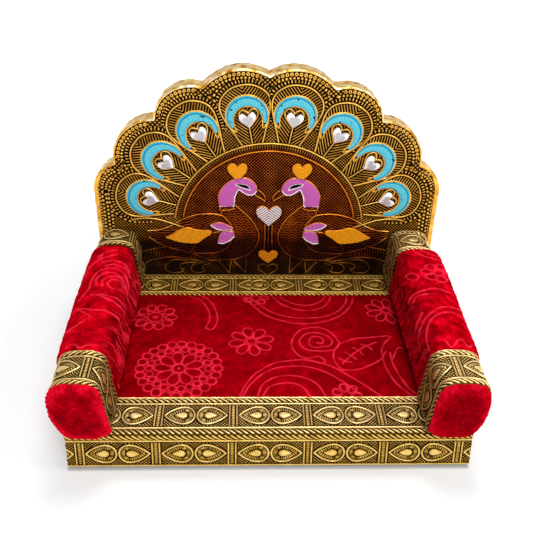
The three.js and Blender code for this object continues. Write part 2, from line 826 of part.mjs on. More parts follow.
const backShares = [
  [0.567, 0.29], [0.533, 0.173], [0.457, 0.059], [0.423, -0.004], [0.417, -0.078], [0.44, -0.174],
  [0.5, -0.273], [0.61, -0.328], [0.765, -0.342], [0.912, -0.338],
];
const upperTailShares = [
  [0.43, 0.05], [0.525, 0.166], [0.638, 0.2], [0.75, 0.199], [0.863, 0.181], [0.977, 0.138],
  [1.094, 0.069], [1.164, 0.025], [1.287, -0.019], [1.417, -0.028],
];
const lowerTailShares = [
  [0.574, -0.038], [0.681, -0.069], [0.775, -0.149], [0.878, -0.247], [0.919, -0.33],
];
const crossTailShares = [
  [1.579, 0.118], [1.465, 0.14], [1.353, 0.137], [1.242, 0.116],
  [1.131, 0.073], [1.057, 0.047], [0.96, 0.012],
];
const fringeShares = [[1.391, -0.439], [1.233, -0.402], [1.078, -0.397], [0.923, -0.429], [0.768, -0.445]];
const leafShares = [
  [1.21, -0.119], [1.123, -0.07], [1.06, -0.026], [0.96, 0.013], [0.832, -0.017], [0.684, -0.029],
  [0.677, -0.069], [0.759, -0.131], [0.838, -0.193], [0.953, -0.194], [1.067, -0.176],
];
const upperPetalShares = [
  [0.675, 0.053], [0.602, 0.084], [0.527, 0.076], [0.429, 0.02],
  [0.429, -0.012], [0.528, -0.018], [0.611, 0.002],
];
const lowerPetalShares = [
  [0.41, -0.036], [0.528, -0.036], [0.575, -0.086], [0.592, -0.193],
  [0.53, -0.197], [0.453, -0.156], [0.407, -0.103],
];
const legShares = [
  [[0.265, -0.375], [0.265, -0.626], [0.424, -0.43]],
  [[0.44, -0.43], [0.465, -0.626], [0.604, -0.44]],
];
const outerScrollShares = [
  [0.97, -0.448], [1.08, -0.429], [1.158, -0.448], [1.224, -0.513], [1.234, -0.569],
  [1.19, -0.615], [1.1, -0.622], [1.02, -0.6], [1.01, -0.55],
];
const innerScrollShares = [
  [0.75, -0.475], [0.847, -0.484], [0.903, -0.512], [0.929, -0.568],
  [0.891, -0.615], [0.813, -0.62], [0.75, -0.59],
];
const crestShare = { across: 0.365, up: 0.755, width: 0.22, height: 0.18 };
const upperHeartShare = { across: 0, up: 0.19, width: 0.3, height: 0.28 };
const lowerHeartShare = { across: 0, up: -0.39, width: 0.23, height: 0.2 };
const heartStemShares = [[0.045, 0.06], [0.038, -0.11], [0.046, -0.29]];
const headRaise = 1.15;
const petalRaise = 1.05;

function outlineOf(shares, side) {
  return shares.map(([across, up]) => new THREE.Vector2(side * across * archInner, up * archInner));
}

function heartBoss(share, side) {
  const heart = heartOutline(share.width * archInner, share.height * archInner, heartPoints);
  const middle = new THREE.Vector2(side * share.across * archInner, share.up * archInner);
  return boss(heart.map((p) => p.add(middle)), plateHeight);
}

function peacock(side) {
  const lines = [
    [upperBeakShares, 3], [lowerBeakShares, 1], [collarShares, 2], [chestShares, 20], [backShares, 11],
    [upperTailShares, 11], [lowerTailShares, 5], [crossTailShares, 6], [fringeShares, 4],
    [outerScrollShares, 10], [innerScrollShares, 8],
  ];
  return [
    boss(outlineOf(headShares, side), plateHeight * headRaise),
    heartBoss(crestShare, side),
    boss(outlineOf(leafShares, side), plateHeight),
    boss(outlineOf(upperPetalShares, side), plateHeight * petalRaise),
    boss(outlineOf(lowerPetalShares, side), plateHeight * petalRaise),
    ...lines.map(([shares, steps]) => ridge(drawn(shares, side, steps), ridgeWidth)),
    ...legShares.map((leg) => ridge(outlineOf(leg, side), ridgeWidth)),
  ];
}

// Between the birds: a painted heart on two stems over a smaller heart
function middleHearts() {
  const stems = [-1, 1].map((side) => ridge(drawn(heartStemShares, side, 4), stemWidth));
  return [heartBoss(upperHeartShare, 1), heartBoss(lowerHeartShare, 1), ...stems];
}

const angles = [-1, 1].flatMap((side) =>
  featherAngles.slice(0, feathersEachSide).map((angle) => side * THREE.MathUtils.degToRad(angle)),
);

function foilFace() {
  const panel = plate(backOutline(0, seatTop), foilFront, seatDepth);
  const embossed = join([
    panel,
    archLine(archRadius - archBand / 2),
    archLine(archRadius + archBand / 2),
    ...angles.flatMap((angle) => [featherLoop(angle), crescent(angle), stem(angle)]),
    ...peacock(-1),
    ...peacock(1),
    ...middleHearts(),
  ]);
  return cut(embossed, forwardHoles);
}
add("back_foil_face", foilFace(), foilGold, 0.4, 0.9);

// Heart stones: clear, with a flat table, one in each feather's eye with its tip towards the arch
const stoneFootShare = 0.94;
const stoneTableShare = 0.62;

function heartStone() {
  const outline = heartOutline(stoneWidth, stoneHeight, heartPoints);
  const ring = (scale, out) => outline.map((p) => new THREE.Vector3(p.x * scale, -out, p.y * scale));
  const loops = [
    ring(stoneFootShare, 0),
    ring(1, stoneGirdle / 2),
    ring(1, stoneGirdle),
    ring(stoneTableShare, stoneGirdle + stoneCrown),
  ];
  return loft(loops, outline);
}

angles.forEach((angle, i) => {
  const stone = add(`heart_stone_${i + 1}`, heartStone(), clearStone, 0.1, 0.3);
  const spot = onFeather(angle, 0, stoneRise);
  stone.position.set(spot.x, foilFront, fanCentre + spot.y);
  stone.rotation.y = angle;
});

// The origin lies under the middle of the whole throne.
const frontmost = armFront - fit - capEdge - capCrown;
const rearmost = backRear + rearSheet;
throne.position.y = -(frontmost + rearmost) / 2;

export default throne;
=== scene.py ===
# A small throne for a household deity: a board seat between two rolled velvet arms, in front of a
# fan-shaped back faced with embossed foil. The sections follow the order in which it is put together.
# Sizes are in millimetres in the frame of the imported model, and meshes are written in metres.
import bpy
import numpy as np
from mathutils import Matrix, Vector


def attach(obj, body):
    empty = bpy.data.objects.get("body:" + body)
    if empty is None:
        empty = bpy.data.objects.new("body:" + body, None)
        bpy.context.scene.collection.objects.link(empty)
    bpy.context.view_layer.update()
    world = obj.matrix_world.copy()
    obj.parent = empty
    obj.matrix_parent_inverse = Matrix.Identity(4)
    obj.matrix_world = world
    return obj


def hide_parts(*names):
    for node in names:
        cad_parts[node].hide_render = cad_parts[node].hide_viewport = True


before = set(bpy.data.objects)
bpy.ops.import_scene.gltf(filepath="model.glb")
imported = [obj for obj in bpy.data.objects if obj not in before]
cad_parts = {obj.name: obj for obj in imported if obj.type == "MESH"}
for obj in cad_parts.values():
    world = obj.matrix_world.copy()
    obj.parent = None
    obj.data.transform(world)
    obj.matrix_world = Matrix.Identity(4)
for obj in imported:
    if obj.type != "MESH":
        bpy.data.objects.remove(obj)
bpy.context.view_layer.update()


# Camera and studio: the camera looks down on the throne from a little left of its middle, onto a
# white table under a white tent, with large soft lights in front, at the right and above. The one
# above stands a little to the rear, so that a thin shadow lies in front of the seat.
def camera_axes(down, turn, lean):
    """Right, up and forward of a camera that looks along +Y, tipped down, turned and leant (radians)."""
    forward = np.array([0, np.cos(down), -np.sin(down)])
    up = np.array([0, np.sin(down), np.cos(down)])
    right = np.array([1.0, 0, 0])
    spin = np.array([[np.cos(turn), -np.sin(turn), 0], [np.sin(turn), np.cos(turn), 0], [0, 0, 1]])
    forward, up, right = forward @ spin, up @ spin, right @ spin
    return np.cos(lean) * right - np.sin(lean) * up, np.sin(lean) * right + np.cos(lean) * up, forward


camera_place = np.array([-12.63, -337.8, 285.2])
camera_down, camera_turn, camera_lean = np.radians(32.365), 0.0346, -0.0205
camera_right, camera_up, camera_forward = camera_axes(camera_down, camera_turn, camera_lean)
camera_data = bpy.data.cameras.new("camera")
camera_data.sensor_width = 36.0
camera_data.lens = 49.07
camera_data.shift_y = 0.0011
camera_data.clip_start = 0.02
camera = bpy.data.objects.new("camera", camera_data)
camera_turned = Matrix(np.column_stack([camera_right, camera_up, -camera_forward]).tolist()).to_4x4()
camera.matrix_world = Matrix.Translation((camera_place * 0.001).tolist()) @ camera_turned
bpy.context.scene.collection.objects.link(camera)
bpy.context.scene.camera = camera
bpy.context.scene.view_settings.view_transform = "Standard"


def srgb(colour):
    """Linear red, green, blue and 1 for an sRGB hex value."""
    parts = np.array([(colour >> shift) & 255 for shift in (16, 8, 0)]) / 255
    linear = np.where(parts <= 0.04045, parts / 12.92, ((parts + 0.055) / 1.055) ** 2.4)
    return (*linear.tolist(), 1.0)


def add_node(material, kind, settings=None, inputs=None):
    """Adds one node. Settings are its own, and each input is a value or another node's output."""
    node = material.node_tree.nodes.new(kind)
    for name, value in (settings or {}).items():
        if name == "stops":
            for _ in value[2:]:
                node.color_ramp.elements.new(1.0)
            for element, (place, colour) in zip(node.color_ramp.elements, value):
                element.position = place
                element.color = srgb(colour)
        else:
            setattr(node, name, value)
    for name, value in (inputs or {}).items():
        if isinstance(value, bpy.types.NodeSocket):
            material.node_tree.links.new(value, node.inputs[name])
        else:
            node.inputs[name].default_value = value
    return node


def new_material(name):
    """A material with its own Principled shader; returns both."""
    material = bpy.data.materials.new(name)
    material.use_nodes = True
    return material, material.node_tree.nodes["Principled BSDF"]


def wire(material, shader, **inputs):
    """Gives the shader's inputs, named with _ for a space, a value or another node's output."""
    for name, value in inputs.items():
        socket = shader.inputs[name.replace("_", " ")]
        if isinstance(value, bpy.types.NodeSocket):
            material.node_tree.links.new(value, socket)
        else:
            socket.default_value = value


def result(material, operation, *values):
    """What a math node makes of its values, each a number or another node's output."""
    node = add_node(material, "ShaderNodeMath", {"operation": operation}, dict(enumerate(values)))
    return node.outputs[0]


def vector_result(material, operation, *values):
    """What a vector math node makes of its values; a length comes out as a number."""
    node = add_node(material, "ShaderNodeVectorMath", {"operation": operation}, dict(enumerate(values)))
    return node.outputs["Value" if operation == "LENGTH" else "Vector"]


def places(material):
    """Places on the piece in metres, in the frame's own directions."""
    return add_node(material, "ShaderNodeTexCoord").outputs["Object"]


def noise(material, place, scale, detail, roughness=0.5):
    """Cloudy noise from 0 to 1, or over the piece's own box where the place is None."""
    inputs = {"Scale": scale, "Detail": detail, "Roughness": roughness}
    if place is not None:
        inputs["Vector"] = place
    return add_node(material, "ShaderNodeTexNoise", inputs=inputs).outputs["Fac"]


def carried(material, name, output="Fac"):
    """What the mesh carries under a name at each point."""
    return add_node(material, "ShaderNodeAttribute", {"attribute_name": name}).outputs[output]


def tones(material, level, *stops):
    """Colours along a level: each stop is a level and an sRGB value."""
    return add_node(material, "ShaderNodeValToRGB", {"stops": stops}, {"Fac": level}).outputs["Color"]


def spread(material, level, low, high, start=0.0, end=1.0):
    """A number that runs from low to high while the level goes from start to end."""
    inputs = {"Value": level, "From Min": start, "From Max": end, "To Min": low, "To Max": high}
    return add_node(material, "ShaderNodeMapRange", inputs=inputs).outputs["Result"]


def mixed(material, share, first, second, blend="MIX"):
    """Two colours, mixed by the share of the second."""
    settings = {"data_type": "RGBA", "blend_type": blend}
    return add_node(material, "ShaderNodeMix", settings, {0: share, 6: first, 7: second}).outputs[2]


def bumps(material, height, strength, distance):
    """The normal over bumps of a height from 0 to 1, which stands for a distance in metres."""
    inputs = {"Height": height, "Strength": strength, "Distance": distance}
    return add_node(material, "ShaderNodeBump", inputs=inputs).outputs["Normal"]


white_table, shader = new_material("matt_white_table")
table_tone = tones(white_table, noise(white_table, None, 60.0, 2.0), (0.3, 0xD8DADC), (0.7, 0xDCDEE0))
# The table is given a painted glow, weak by the seat and strong away from it. Close to the seat's
# foot, 204 by 157 mm, a painted shadow darkens its colour and glow more and more. These are in metres.
glow_start, glow_end = 0.17, 0.6
foot_corner, shaded_reach = (0.1018, 0.0787, 0.0), 0.0019
table_place = places(white_table)
from_seat = vector_result(white_table, "LENGTH", table_place)
table_glow = spread(white_table, from_seat, 0.21, 0.9, glow_start, glow_end)
one_corner = vector_result(white_table, "ABSOLUTE", table_place)
off_foot = vector_result(white_table, "SUBTRACT", one_corner, foot_corner)
past_foot = vector_result(white_table, "MAXIMUM", off_foot, (0, 0, 0))
foot_distance = vector_result(white_table, "LENGTH", past_foot)
painted_shadow_share = spread(white_table, foot_distance, 0.05, 1.0, 0.0, shaded_reach)
wire(
    white_table, shader, Base_Color=vector_result(white_table, "MULTIPLY", table_tone, painted_shadow_share),
    Roughness=0.9, Emission_Color=srgb(0xFFFFFF),
    Emission_Strength=result(white_table, "MULTIPLY", table_glow, painted_shadow_share),
)
# The seat's board is not quite flat, so most of its foot hangs 1 mm over the table.
table_half, table_drop = 4.0, 0.001
table_mesh = bpy.data.meshes.new("table")
table_signs = ((-1, -1), (1, -1), (1, 1), (-1, 1))
table_corners = [(x * table_half, y * table_half, -table_drop) for x, y in table_signs]
table_mesh.from_pydata(table_corners, [], [(0, 1, 2, 3)])
table_mesh.materials.append(white_table)
table = bpy.data.objects.new("table", table_mesh)
bpy.context.scene.collection.objects.link(table)

tent = bpy.data.worlds.new("white_tent")
tent.use_nodes = True
tent.node_tree.nodes["Background"].inputs["Color"].default_value = (1.0, 1.0, 1.0, 1.0)
tent.node_tree.nodes["Background"].inputs["Strength"].default_value = 0.47
bpy.context.scene.world = tent


def soft_light(name, place, size, power):
    """A square area light of a side and a power, at a place in metres, aimed 50 mm over the seat's foot."""
    data = bpy.data.lights.new(name, "AREA")
    data.shape, data.size, data.energy = "SQUARE", size, power
    light = bpy.data.objects.new(name, data)
    away = Vector(place) - Vector((0, 0, 0.05))
    light.matrix_world = Matrix.Translation(place) @ away.to_track_quat("Z", "Y").to_matrix().to_4x4()
    bpy.context.scene.collection.objects.link(light)


soft_light("front_softbox", (0.1, -0.75, 0.75), 0.45, 5.2)
soft_light("side_softbox", (0.75, -0.2, 0.7), 0.35, 2.6)
soft_light("top_softbox", (0.05, 0.3, 1.0), 0.4, 4.6)


# Seat board, back board and arm cores: sawn mango wood, glued and screwed from below and behind.
# The CAD solids stay as they are. Bare wood shows only underneath, with its grain along the board.
def cover(material, *nodes):
    """Puts a material on CAD nodes that keep their own shape."""
    for name in nodes:
        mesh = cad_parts[name].data
        mesh.materials.clear()
        mesh.materials.append(material)


sawn_wood, shader = new_material("sawn_mango_wood")
# Grain lines stand about 1.5 mm apart and run 15 times as far along X.
wood_run = vector_result(sawn_wood, "MULTIPLY", places(sawn_wood), (45.0, 700.0, 700.0))
wood_grain = noise(sawn_wood, wood_run, 1.0, 6.0)
wire(
    sawn_wood, shader, Roughness=0.72, Normal=bumps(sawn_wood, wood_grain, 0.4, 0.0003),
    Base_Color=tones(sawn_wood, wood_grain, (0.25, 0x8A6238), (0.55, 0xB98F5E), (0.8, 0xCFAA7A)),
)
cover(sawn_wood, "seat_board", "back_board", "left_arm_core", "right_arm_core")


# Screws: zinc-plated countersunk steel, four up into the arms and five through the back.
# The plating gives a pale, slightly streaked metal.
zinc_steel, shader = new_material("zinc_plated_steel")
zinc_rough = spread(zinc_steel, noise(zinc_steel, None, 900.0, 3.0), 0.28, 0.5)
wire(zinc_steel, shader, Base_Color=srgb(0xB4B4AE), Metallic=1.0, Roughness=zinc_rough)
cover(zinc_steel, *[f"arm_screw_{i}" for i in range(1, 5)], *[f"back_screw_{i}" for i in range(1, 6)])


# Embossed strips round the seat: gold-lacquered tin foil, pressed in one die with a rope along each
# side and teardrops between bars, rubbed with black in the hollows, then glued and folded over.
strip_middle, sheet_thickness = 12.55, 0.6
rope_from_middle, rope_half, strand_pitch = 10.7, 1.5, 3.05
line_from_middle, line_half, band_half = 8.25, 0.55, 7.75
repeat, divider_half, bar_from_middle, bead_pitch = 38.0, 2.75, 1.85, 1.1
drop_length, drop_width, tick_pitch, ground_pitch = 15.9, 12.2, 1.4, 1.75
small_drop_start, small_drop_length, small_drop_width = 5.2, 6.8, 4.4
seat_top, seat_half, seat_front, front_half = 20.8, 100.8, -77.6, 101.4


def body(name, rings, material, smooth=60, **attributes):
    """Closed mesh through rings of matching points, an n by m by 3 grid in mm.

    Quads join each ring to the next and its last point to its first, and a face closes each end.
    The faces point outwards because the whole is turned if its volume comes out negative.
    Each attribute is an n by m grid of numbers, or of four for a colour, one for each point.
    """
    rows, count = rings.shape[:2]
    points = rings.reshape(-1, 3) * 0.001
    here = np.arange(rows - 1)[:, None] * count + np.arange(count)
    aside = np.arange(rows - 1)[:, None] * count + np.roll(np.arange(count), -1)
    quads = np.stack([here, aside, aside + count, here + count], -1).reshape(-1, 4)
    ends = [np.arange(count)[::-1], np.arange(count) + (rows - 1) * count]
    a, b, c, d = (points[quads[:, k]] for k in range(4))
    volume = np.einsum("ij,ij->", a, np.cross(b, c) + np.cross(c, d))
    for end in ends:
        fan = points[end]
        first = np.broadcast_to(fan[0], fan[1:-1].shape)
        volume += np.einsum("ij,ij->", first, np.cross(fan[1:-1], fan[2:]))
    if volume < 0:
        quads, ends = quads[:, ::-1], [end[::-1] for end in ends]
    mesh = bpy.data.meshes.new(name)
    mesh.vertices.add(len(points))
    mesh.vertices.foreach_set("co", points.astype(np.float32).ravel())
    corners = np.concatenate([quads.ravel(), *ends]).astype(np.int32)
    starts = np.append(np.arange(len(quads)) * 4, len(quads) * 4 + np.array([0, count]))
    mesh.loops.add(len(corners))
    mesh.loops.foreach_set("vertex_index", corners)
    mesh.polygons.add(len(starts))
    mesh.polygons.foreach_set("loop_start", starts.astype(np.int32))
    mesh.polygons.foreach_set("use_smooth", np.ones(len(starts), bool))
    mesh.update(calc_edges=True)
    mesh.validate()
    mesh.set_sharp_from_angle(angle=np.radians(smooth))
    for key, values in attributes.items():
        kind, field = ("FLOAT", "value") if values.ndim == 2 else ("FLOAT_COLOR", "color")
        attribute = mesh.attributes.new(key, kind, "POINT")
        attribute.data.foreach_set(field, values.astype(np.float32).ravel())
    mesh.materials.append(material)
    piece = bpy.data.objects.new(name, mesh)
    bpy.context.scene.collection.objects.link(piece)
    return piece


def with_foot(top, foot_first, foot_last, *fields):
    """Rings for a sheet: each row of the top, then the points under its last and first points."""
    rings = np.concatenate([top, foot_last[:, None], foot_first[:, None]], 1)
    return rings, *[np.concatenate([field, field[:, -1:], field[:, :1]], 1) for field in fields]


def ride_seat(piece, slot, *nodes):
    """The piece rides on the one body and stands for CAD nodes, which it hides. The slot is not used."""
    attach(piece, "root")
    if nodes:
        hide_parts(*nodes)


def nearest(x, z, path, reach):
    """For each point, its distance to a path (at most reach) and how far along the path that is.

    On each straight of the path the nearest place is the point's own share of it, held to 0 to 1.
    """
    apart, gone = np.full(x.shape, float(reach)), np.zeros(x.shape)
    low, high = path.min(0) - reach, path.max(0) + reach
    near = (x > low[0]) & (x < high[0]) & (z > low[1]) & (z < high[1])
    px, pz, best, place, start = x[near], z[near], apart[near], gone[near], 0.0
    for (ax, az), (rx, rz) in zip(path[:-1], np.diff(path, axis=0)):
        length = np.hypot(rx, rz) + 1e-9
        share = np.clip(((px - ax) * rx + (pz - az) * rz) / length**2, 0, 1)
        distance = np.hypot(px - ax - share * rx, pz - az - share * rz)
        closer = distance < best
        best[closer], place[closer] = distance[closer], start + share[closer] * length
        start += length
    apart[near], gone[near] = best, place
    return apart, gone


def inside(x, z, outline):
    """True for points inside an outline: a line to their right crosses it an odd number of times."""
    odd = np.zeros(x.shape, bool)
    for (ax, az), (bx, bz) in zip(outline, np.roll(outline, -1, 0)):
        level = (az > z) != (bz > z)
        odd ^= level & (x < (bx - ax) * (z - az) / (bz - az + 1e-12) + ax)
    return odd


def ridge(apart, half):
    """Height from 1 on a line to 0 at its half width, as a rounded ridge."""
    return np.clip(1 - (apart / half) ** 2, 0, 1)


def teardrop(length, width, count):
    """Outline from its tip at 0: along (1 - cos t) / 2, and across sin t times sin(t / 2) to the 0.8."""
    t = np.linspace(0, 2 * np.pi, count)
    across = np.sin(t) * np.abs(np.sin(t / 2)) ** 0.8 * 0.62
    return np.column_stack([(1 - np.cos(t)) / 2 * length, across * width])


def wander(x, y, size, seed):
    """Smooth random ripple between about -1 and 1: ten sine waves of that size in turned directions."""
    random = np.random.default_rng(seed)
    total = np.zeros(np.broadcast(x, y).shape)
    for turn, start, stretch in zip(*random.uniform([[0], [0], [0.6]], [[6.28], [6.28], [1.6]], (3, 10))):
        total += np.sin((x * np.cos(turn) + y * np.sin(turn)) * 6.28 / (size * stretch) + start)
    return total / 4.5


def dots(x, y, repeat_length):
    """Round dots from 0 to 1 in staggered rows: (2 + cos k(x + y) + cos k(x - y)) / 4, sharpened."""
    k = 2 * np.pi / repeat_length
    return np.clip((np.cos(k * (x + y)) + np.cos(k * (x - y)) + 0.7) / 2.4, 0, 1)


def pressed_strip(along, across, first_bar):
    """Height in mm and shade (0 hollow to 1 crest) of the strip at places along and across it.

    Ropes are half rounds cut by slanting strands. Between them a repeat is folded about its bars:
    a bar pair with a bead column, and teardrops with a rim, a ring of ticks and a small drop.
    """
    side = np.abs(across - strip_middle)
    signed = across - strip_middle
    off_rope = np.clip(np.abs(side - rope_from_middle) / rope_half, 0, 1)
    rope_round = np.sqrt(1 - off_rope**2)
    strand = np.clip(np.abs(np.sin(np.pi * (along + 1.5 * signed) / strand_pitch)) * 1.35 - 0.35, 0, 1)
    height = 0.95 * rope_round * (0.3 + 0.7 * strand**0.7)
    shade = np.where(off_rope < 1, strand * (0.45 + 0.55 * rope_round), 0.3)
    line = ridge(side - line_from_middle, line_half)
    height, shade = np.maximum(height, 0.55 * line), np.maximum(shade, line**0.5)
    fold = across > 2 * strip_middle - 0.35
    height = np.where(fold, 0.35 + 0.12 * np.sin((across - 25) * 2.2), height)
    shade = np.where(fold, 0.8 + 0.12 * wander(along, across * 4, 5.0, 3), shade)

    bar = np.abs((along - first_bar + repeat / 2) % repeat - repeat / 2)
    ground = dots(along, signed, ground_pitch)
    band_height, band_shade = 0.3 * ground, 0.08 + 0.72 * ground
    divider = bar < divider_half
    bead = np.clip(np.abs(np.cos(np.pi * signed / bead_pitch)) * 1.3, 0, 1) * ridge(bar, 1.0) ** 0.5
    bars = ridge(bar - bar_from_middle, 0.5)
    band_height = np.where(divider, np.maximum(0.3 * bead, 0.6 * bars), band_height)
    band_shade = np.where(divider, np.maximum(0.08 + 0.72 * bead, bars**0.5), band_shade)

    outline, past_divider = teardrop(drop_length, drop_width, 41), bar - divider_half
    apart, gone = nearest(past_divider, signed, outline, 6.0)
    deep = np.where(inside(past_divider, signed, outline), apart, -apart)
    rim = ridge(deep - 0.35, 0.6)
    ticks = np.clip(0.6 + 0.7 * np.cos(2 * np.pi * gone / tick_pitch), 0, 1)
    ring = (deep > 1.35) & (deep < 3.2)
    drop_height = np.where(ring, 0.1 + 0.25 * ticks, 0.2)
    drop_shade = np.where(ring, 0.1 + 0.7 * ticks, 0.02)
    small = teardrop(small_drop_length, small_drop_width, 25) + [small_drop_start, 0]
    small_apart, _ = nearest(past_divider, signed, small, 3.0)
    small_in = inside(past_divider, signed, small)
    swell = np.clip(small_apart / 1.3, 0, 1)
    drop_height = np.where(small_in, 0.3 + 0.6 * np.sqrt(1 - (1 - swell) ** 2), drop_height)
    drop_shade = np.where(small_in, 0.72 + 0.2 * swell, drop_shade * np.clip(small_apart / 0.6, 0.05, 1))
    drop_height, drop_shade = np.maximum(drop_height, 0.8 * rim), np.maximum(drop_shade, rim**0.5)
    on_drop = (deep > -0.7) & (apart < 6)
    band_height = np.where(on_drop, np.maximum(drop_height, 0.8 * rim), band_height)
    band_shade = np.where(on_drop, np.where(deep < -0.25, 0.02, drop_shade), band_shade)
    # The black lies deep beside the line at the band's edge.
    in_band = side < band_half - 0.05
    band_shade = band_shade * np.clip((band_half - 0.15 - side) / 0.5, 0, 1)
    height, shade = np.where(in_band, band_height, height), np.where(in_band, band_shade, shade)
    rubbed = 0.06 * wander(along, across, 9.0, 11) + 0.05 * wander(along, across, 2.4, 12)
    return height + 0.03 * wander(along, across, 6.0, 13), np.clip(shade * (1 + rubbed) + rubbed * 0.3, 0, 1)


def strip_sheet(name, node, place, ends, sides, first_bar, material, step=0.3, second=None, painted_light=0.0):
    """A pressed strip on a surface, which stands for a node: place(along, across, out) gives points in mm.

    A second length, if any, starts at a place along and has its own first bar. Painted light is the
    share by which the shade is raised, as painted light on the crests.
    """
    along = np.linspace(*ends, int(round((ends[1] - ends[0]) / step)) + 1)[:, None]
    across = np.linspace(*sides, int(round((sides[1] - sides[0]) / step)) + 1)[None, :]
    if second:
        first_bar = np.where(along > second[0], second[1], first_bar)
    height, shade = pressed_strip(along + 0 * across, across + 0 * along, first_bar)
    top = place(along + 0 * across, across + 0 * along, sheet_thickness + height)
    foot = [place(along[:, 0], np.full(len(along), edge), np.zeros(len(along))) for edge in sides]
    rings, shade = with_foot(top, *foot, np.clip(shade * (1 + painted_light), 0, 1))
    ride_seat(body(name, rings, material, shade=shade), "embossed_strip", node)


def foil_tones(material, level, *colours):
    """Four tones of a rubbed foil, from its hollows to its crests."""
    return tones(material, level, *zip((0.15, 0.4, 0.66, 0.92), colours))


def foil_material(name, *colours):
    """Embossed foil: the shade that the mesh carries runs from hollows to crests through four tones.

    Fine noise breaks the rubbed black up, and bumps about 0.5 mm apart crumple the foil.
    """
    material, shader = new_material(name)
    grain = noise(material, places(material), 1800.0, 3.0)
    worn = result(material, "MULTIPLY_ADD", grain, 0.24, -0.12)
    level = result(material, "ADD", carried(material, "shade"), worn)
    wire(
        material, shader, Base_Color=foil_tones(material, level, *colours), Specular_IOR_Level=0.05,
        Roughness=spread(material, level, 0.7, 0.34), Metallic=spread(material, level, 0.1, 0.75),
        Normal=bumps(material, grain, 0.3, 0.0002),
    )
    return material


strip_foil = foil_material("antique_gold_pressed_foil", 0x050300, 0x5E430C, 0xC4922E, 0xF8D47C)
# Strips that face up, on the seat's top front and round the arms, are paler: a painted reflection.
pale_reflecting_foil = foil_material("pale_gold_pressed_foil_with_painted_reflection", 0x050402, 0x5C461A, 0xC09648, 0xF8DA9A)


def flare(across, side):
    """How far the foil stands off the board's ends: most at the foot, and more on the right."""
    return (0.9 + 0.5 * (side > 0)) * np.clip((23.0 - across) / 19.5, 0, 1)


upright_sides = (3.55, 24.75)


def on_front(along, across, out):
    """On the board's front face: along is x, across runs up, 4 % drawn out, from 0.3 mm over the foot."""
    wide = along * (1 + flare(across, along) / front_half)
    return np.stack([wide, seat_front - out, (across - upright_sides[0]) * 1.04 + 0.3], -1)


def on_side(side):
    """On the board's left (-1) or right (+1) face: along is y."""
    def place(along, across, out):
        x = side * (seat_half + np.where(out > 0, out + flare(across, side), 0))
        return np.stack([x, along, across - upright_sides[0] + 0.2], -1)
    return place


def on_top(start, stretch, lead=0.0):
    """On the board's top: along is x, and across runs to the rear from a start.

    A lead draws the strip's front rope, its first 4.3 mm, out over the board's edge.
    """
    def place(along, across, out):
        y = start + stretch * across - lead * np.clip(1 - across / 4.3, 0, 1)
        return np.stack([along, y, seat_top + out], -1)
    return place


top_half = 79.6
strip_sheet(
    "seat_strip_front", "seat_front_strip", on_front, (-front_half, front_half), upright_sides, 19.0,
    strip_foil,
)
for side, word in ((-1, "left"), (1, "right")):
    strip_sheet(
        f"seat_strip_{word}", f"seat_{word}_strip", on_side(side), (seat_front, 68.1), upright_sides, 14.0,
        strip_foil, 0.4,
    )
strip_sheet(
    "seat_strip_top_front", "seat_top_front_strip", on_top(-77.03, 1.035, 1.2), (-top_half, top_half),
    (0, 25.5), 19.4, pale_reflecting_foil,
)
# The rear strip is pieced from two lengths that meet 9 mm left of the middle.
strip_sheet(
    "seat_strip_top_rear", "seat_top_rear_strip", on_top(44.0, 0.96), (-top_half, top_half), (0, 25.1),
    17.4, strip_foil, second=(-9.0, 22.4),
)


# Seat pad: wine-red velvet glued over a thin wadding, brushed flat, with flowers and scrolls pressed
# into the pile by a hot roller. The cloth swells a little between its glued edges.
pad_half, pad_front, pad_rear = 82.5, -50.6, 43.9
coarse_columns, coarse_rows, fine_columns, fine_rows = 79, 48, 391, 235


def smooth_run(points, count):
    """Evenly spaced points on a Catmull-Rom curve through the given ones.

    Between b and c, with neighbours a and d, it is half of 2b + (c - a) f + (2a - 5b + 4c - d) f^2
    + (3b - a - 3c + d) f^3, where f runs from 0 to 1. Each end goes on in a straight line.
    """
    points = np.asarray(points, float)
    whole = np.vstack([2 * points[0] - points[1], points, 2 * points[-1] - points[-2]])
    t = np.linspace(0, len(whole) - 3 - 1e-9, 24 * len(whole))
    k = t.astype(int)
    f = (t - k)[:, None]
    a, b, c, d = whole[k], whole[k + 1], whole[k + 2], whole[k + 3]
    run = b + (c - a) * f / 2 + (2 * a - 5 * b + 4 * c - d) * f**2 / 2 + (3 * b - a - 3 * c + d) * f**3 / 2
    length = np.append(0, np.cumsum(np.hypot(*np.diff(run, axis=0).T)))
    even = np.linspace(0, length[-1], count)
    return np.column_stack([np.interp(even, length, run[:, i]) for i in (0, 1)])


def between(count, coarse):
    """Matrix that turns values at evenly spaced coarse places into Catmull-Rom values at finer ones."""
    t = np.linspace(0, coarse - 1 - 1e-9, count)
    k = t.astype(int)
    f = t - k
    weights = (-f + 2 * f**2 - f**3, 2 - 5 * f**2 + 3 * f**3, f + 4 * f**2 - 3 * f**3, f**3 - f**2)
    matrix = np.zeros((count, coarse))
    for shift, weight in zip((-1, 0, 1, 2), weights):
        np.add.at(matrix, (np.arange(count), np.clip(k + shift, 0, coarse - 1)), weight / 2)
    return matrix


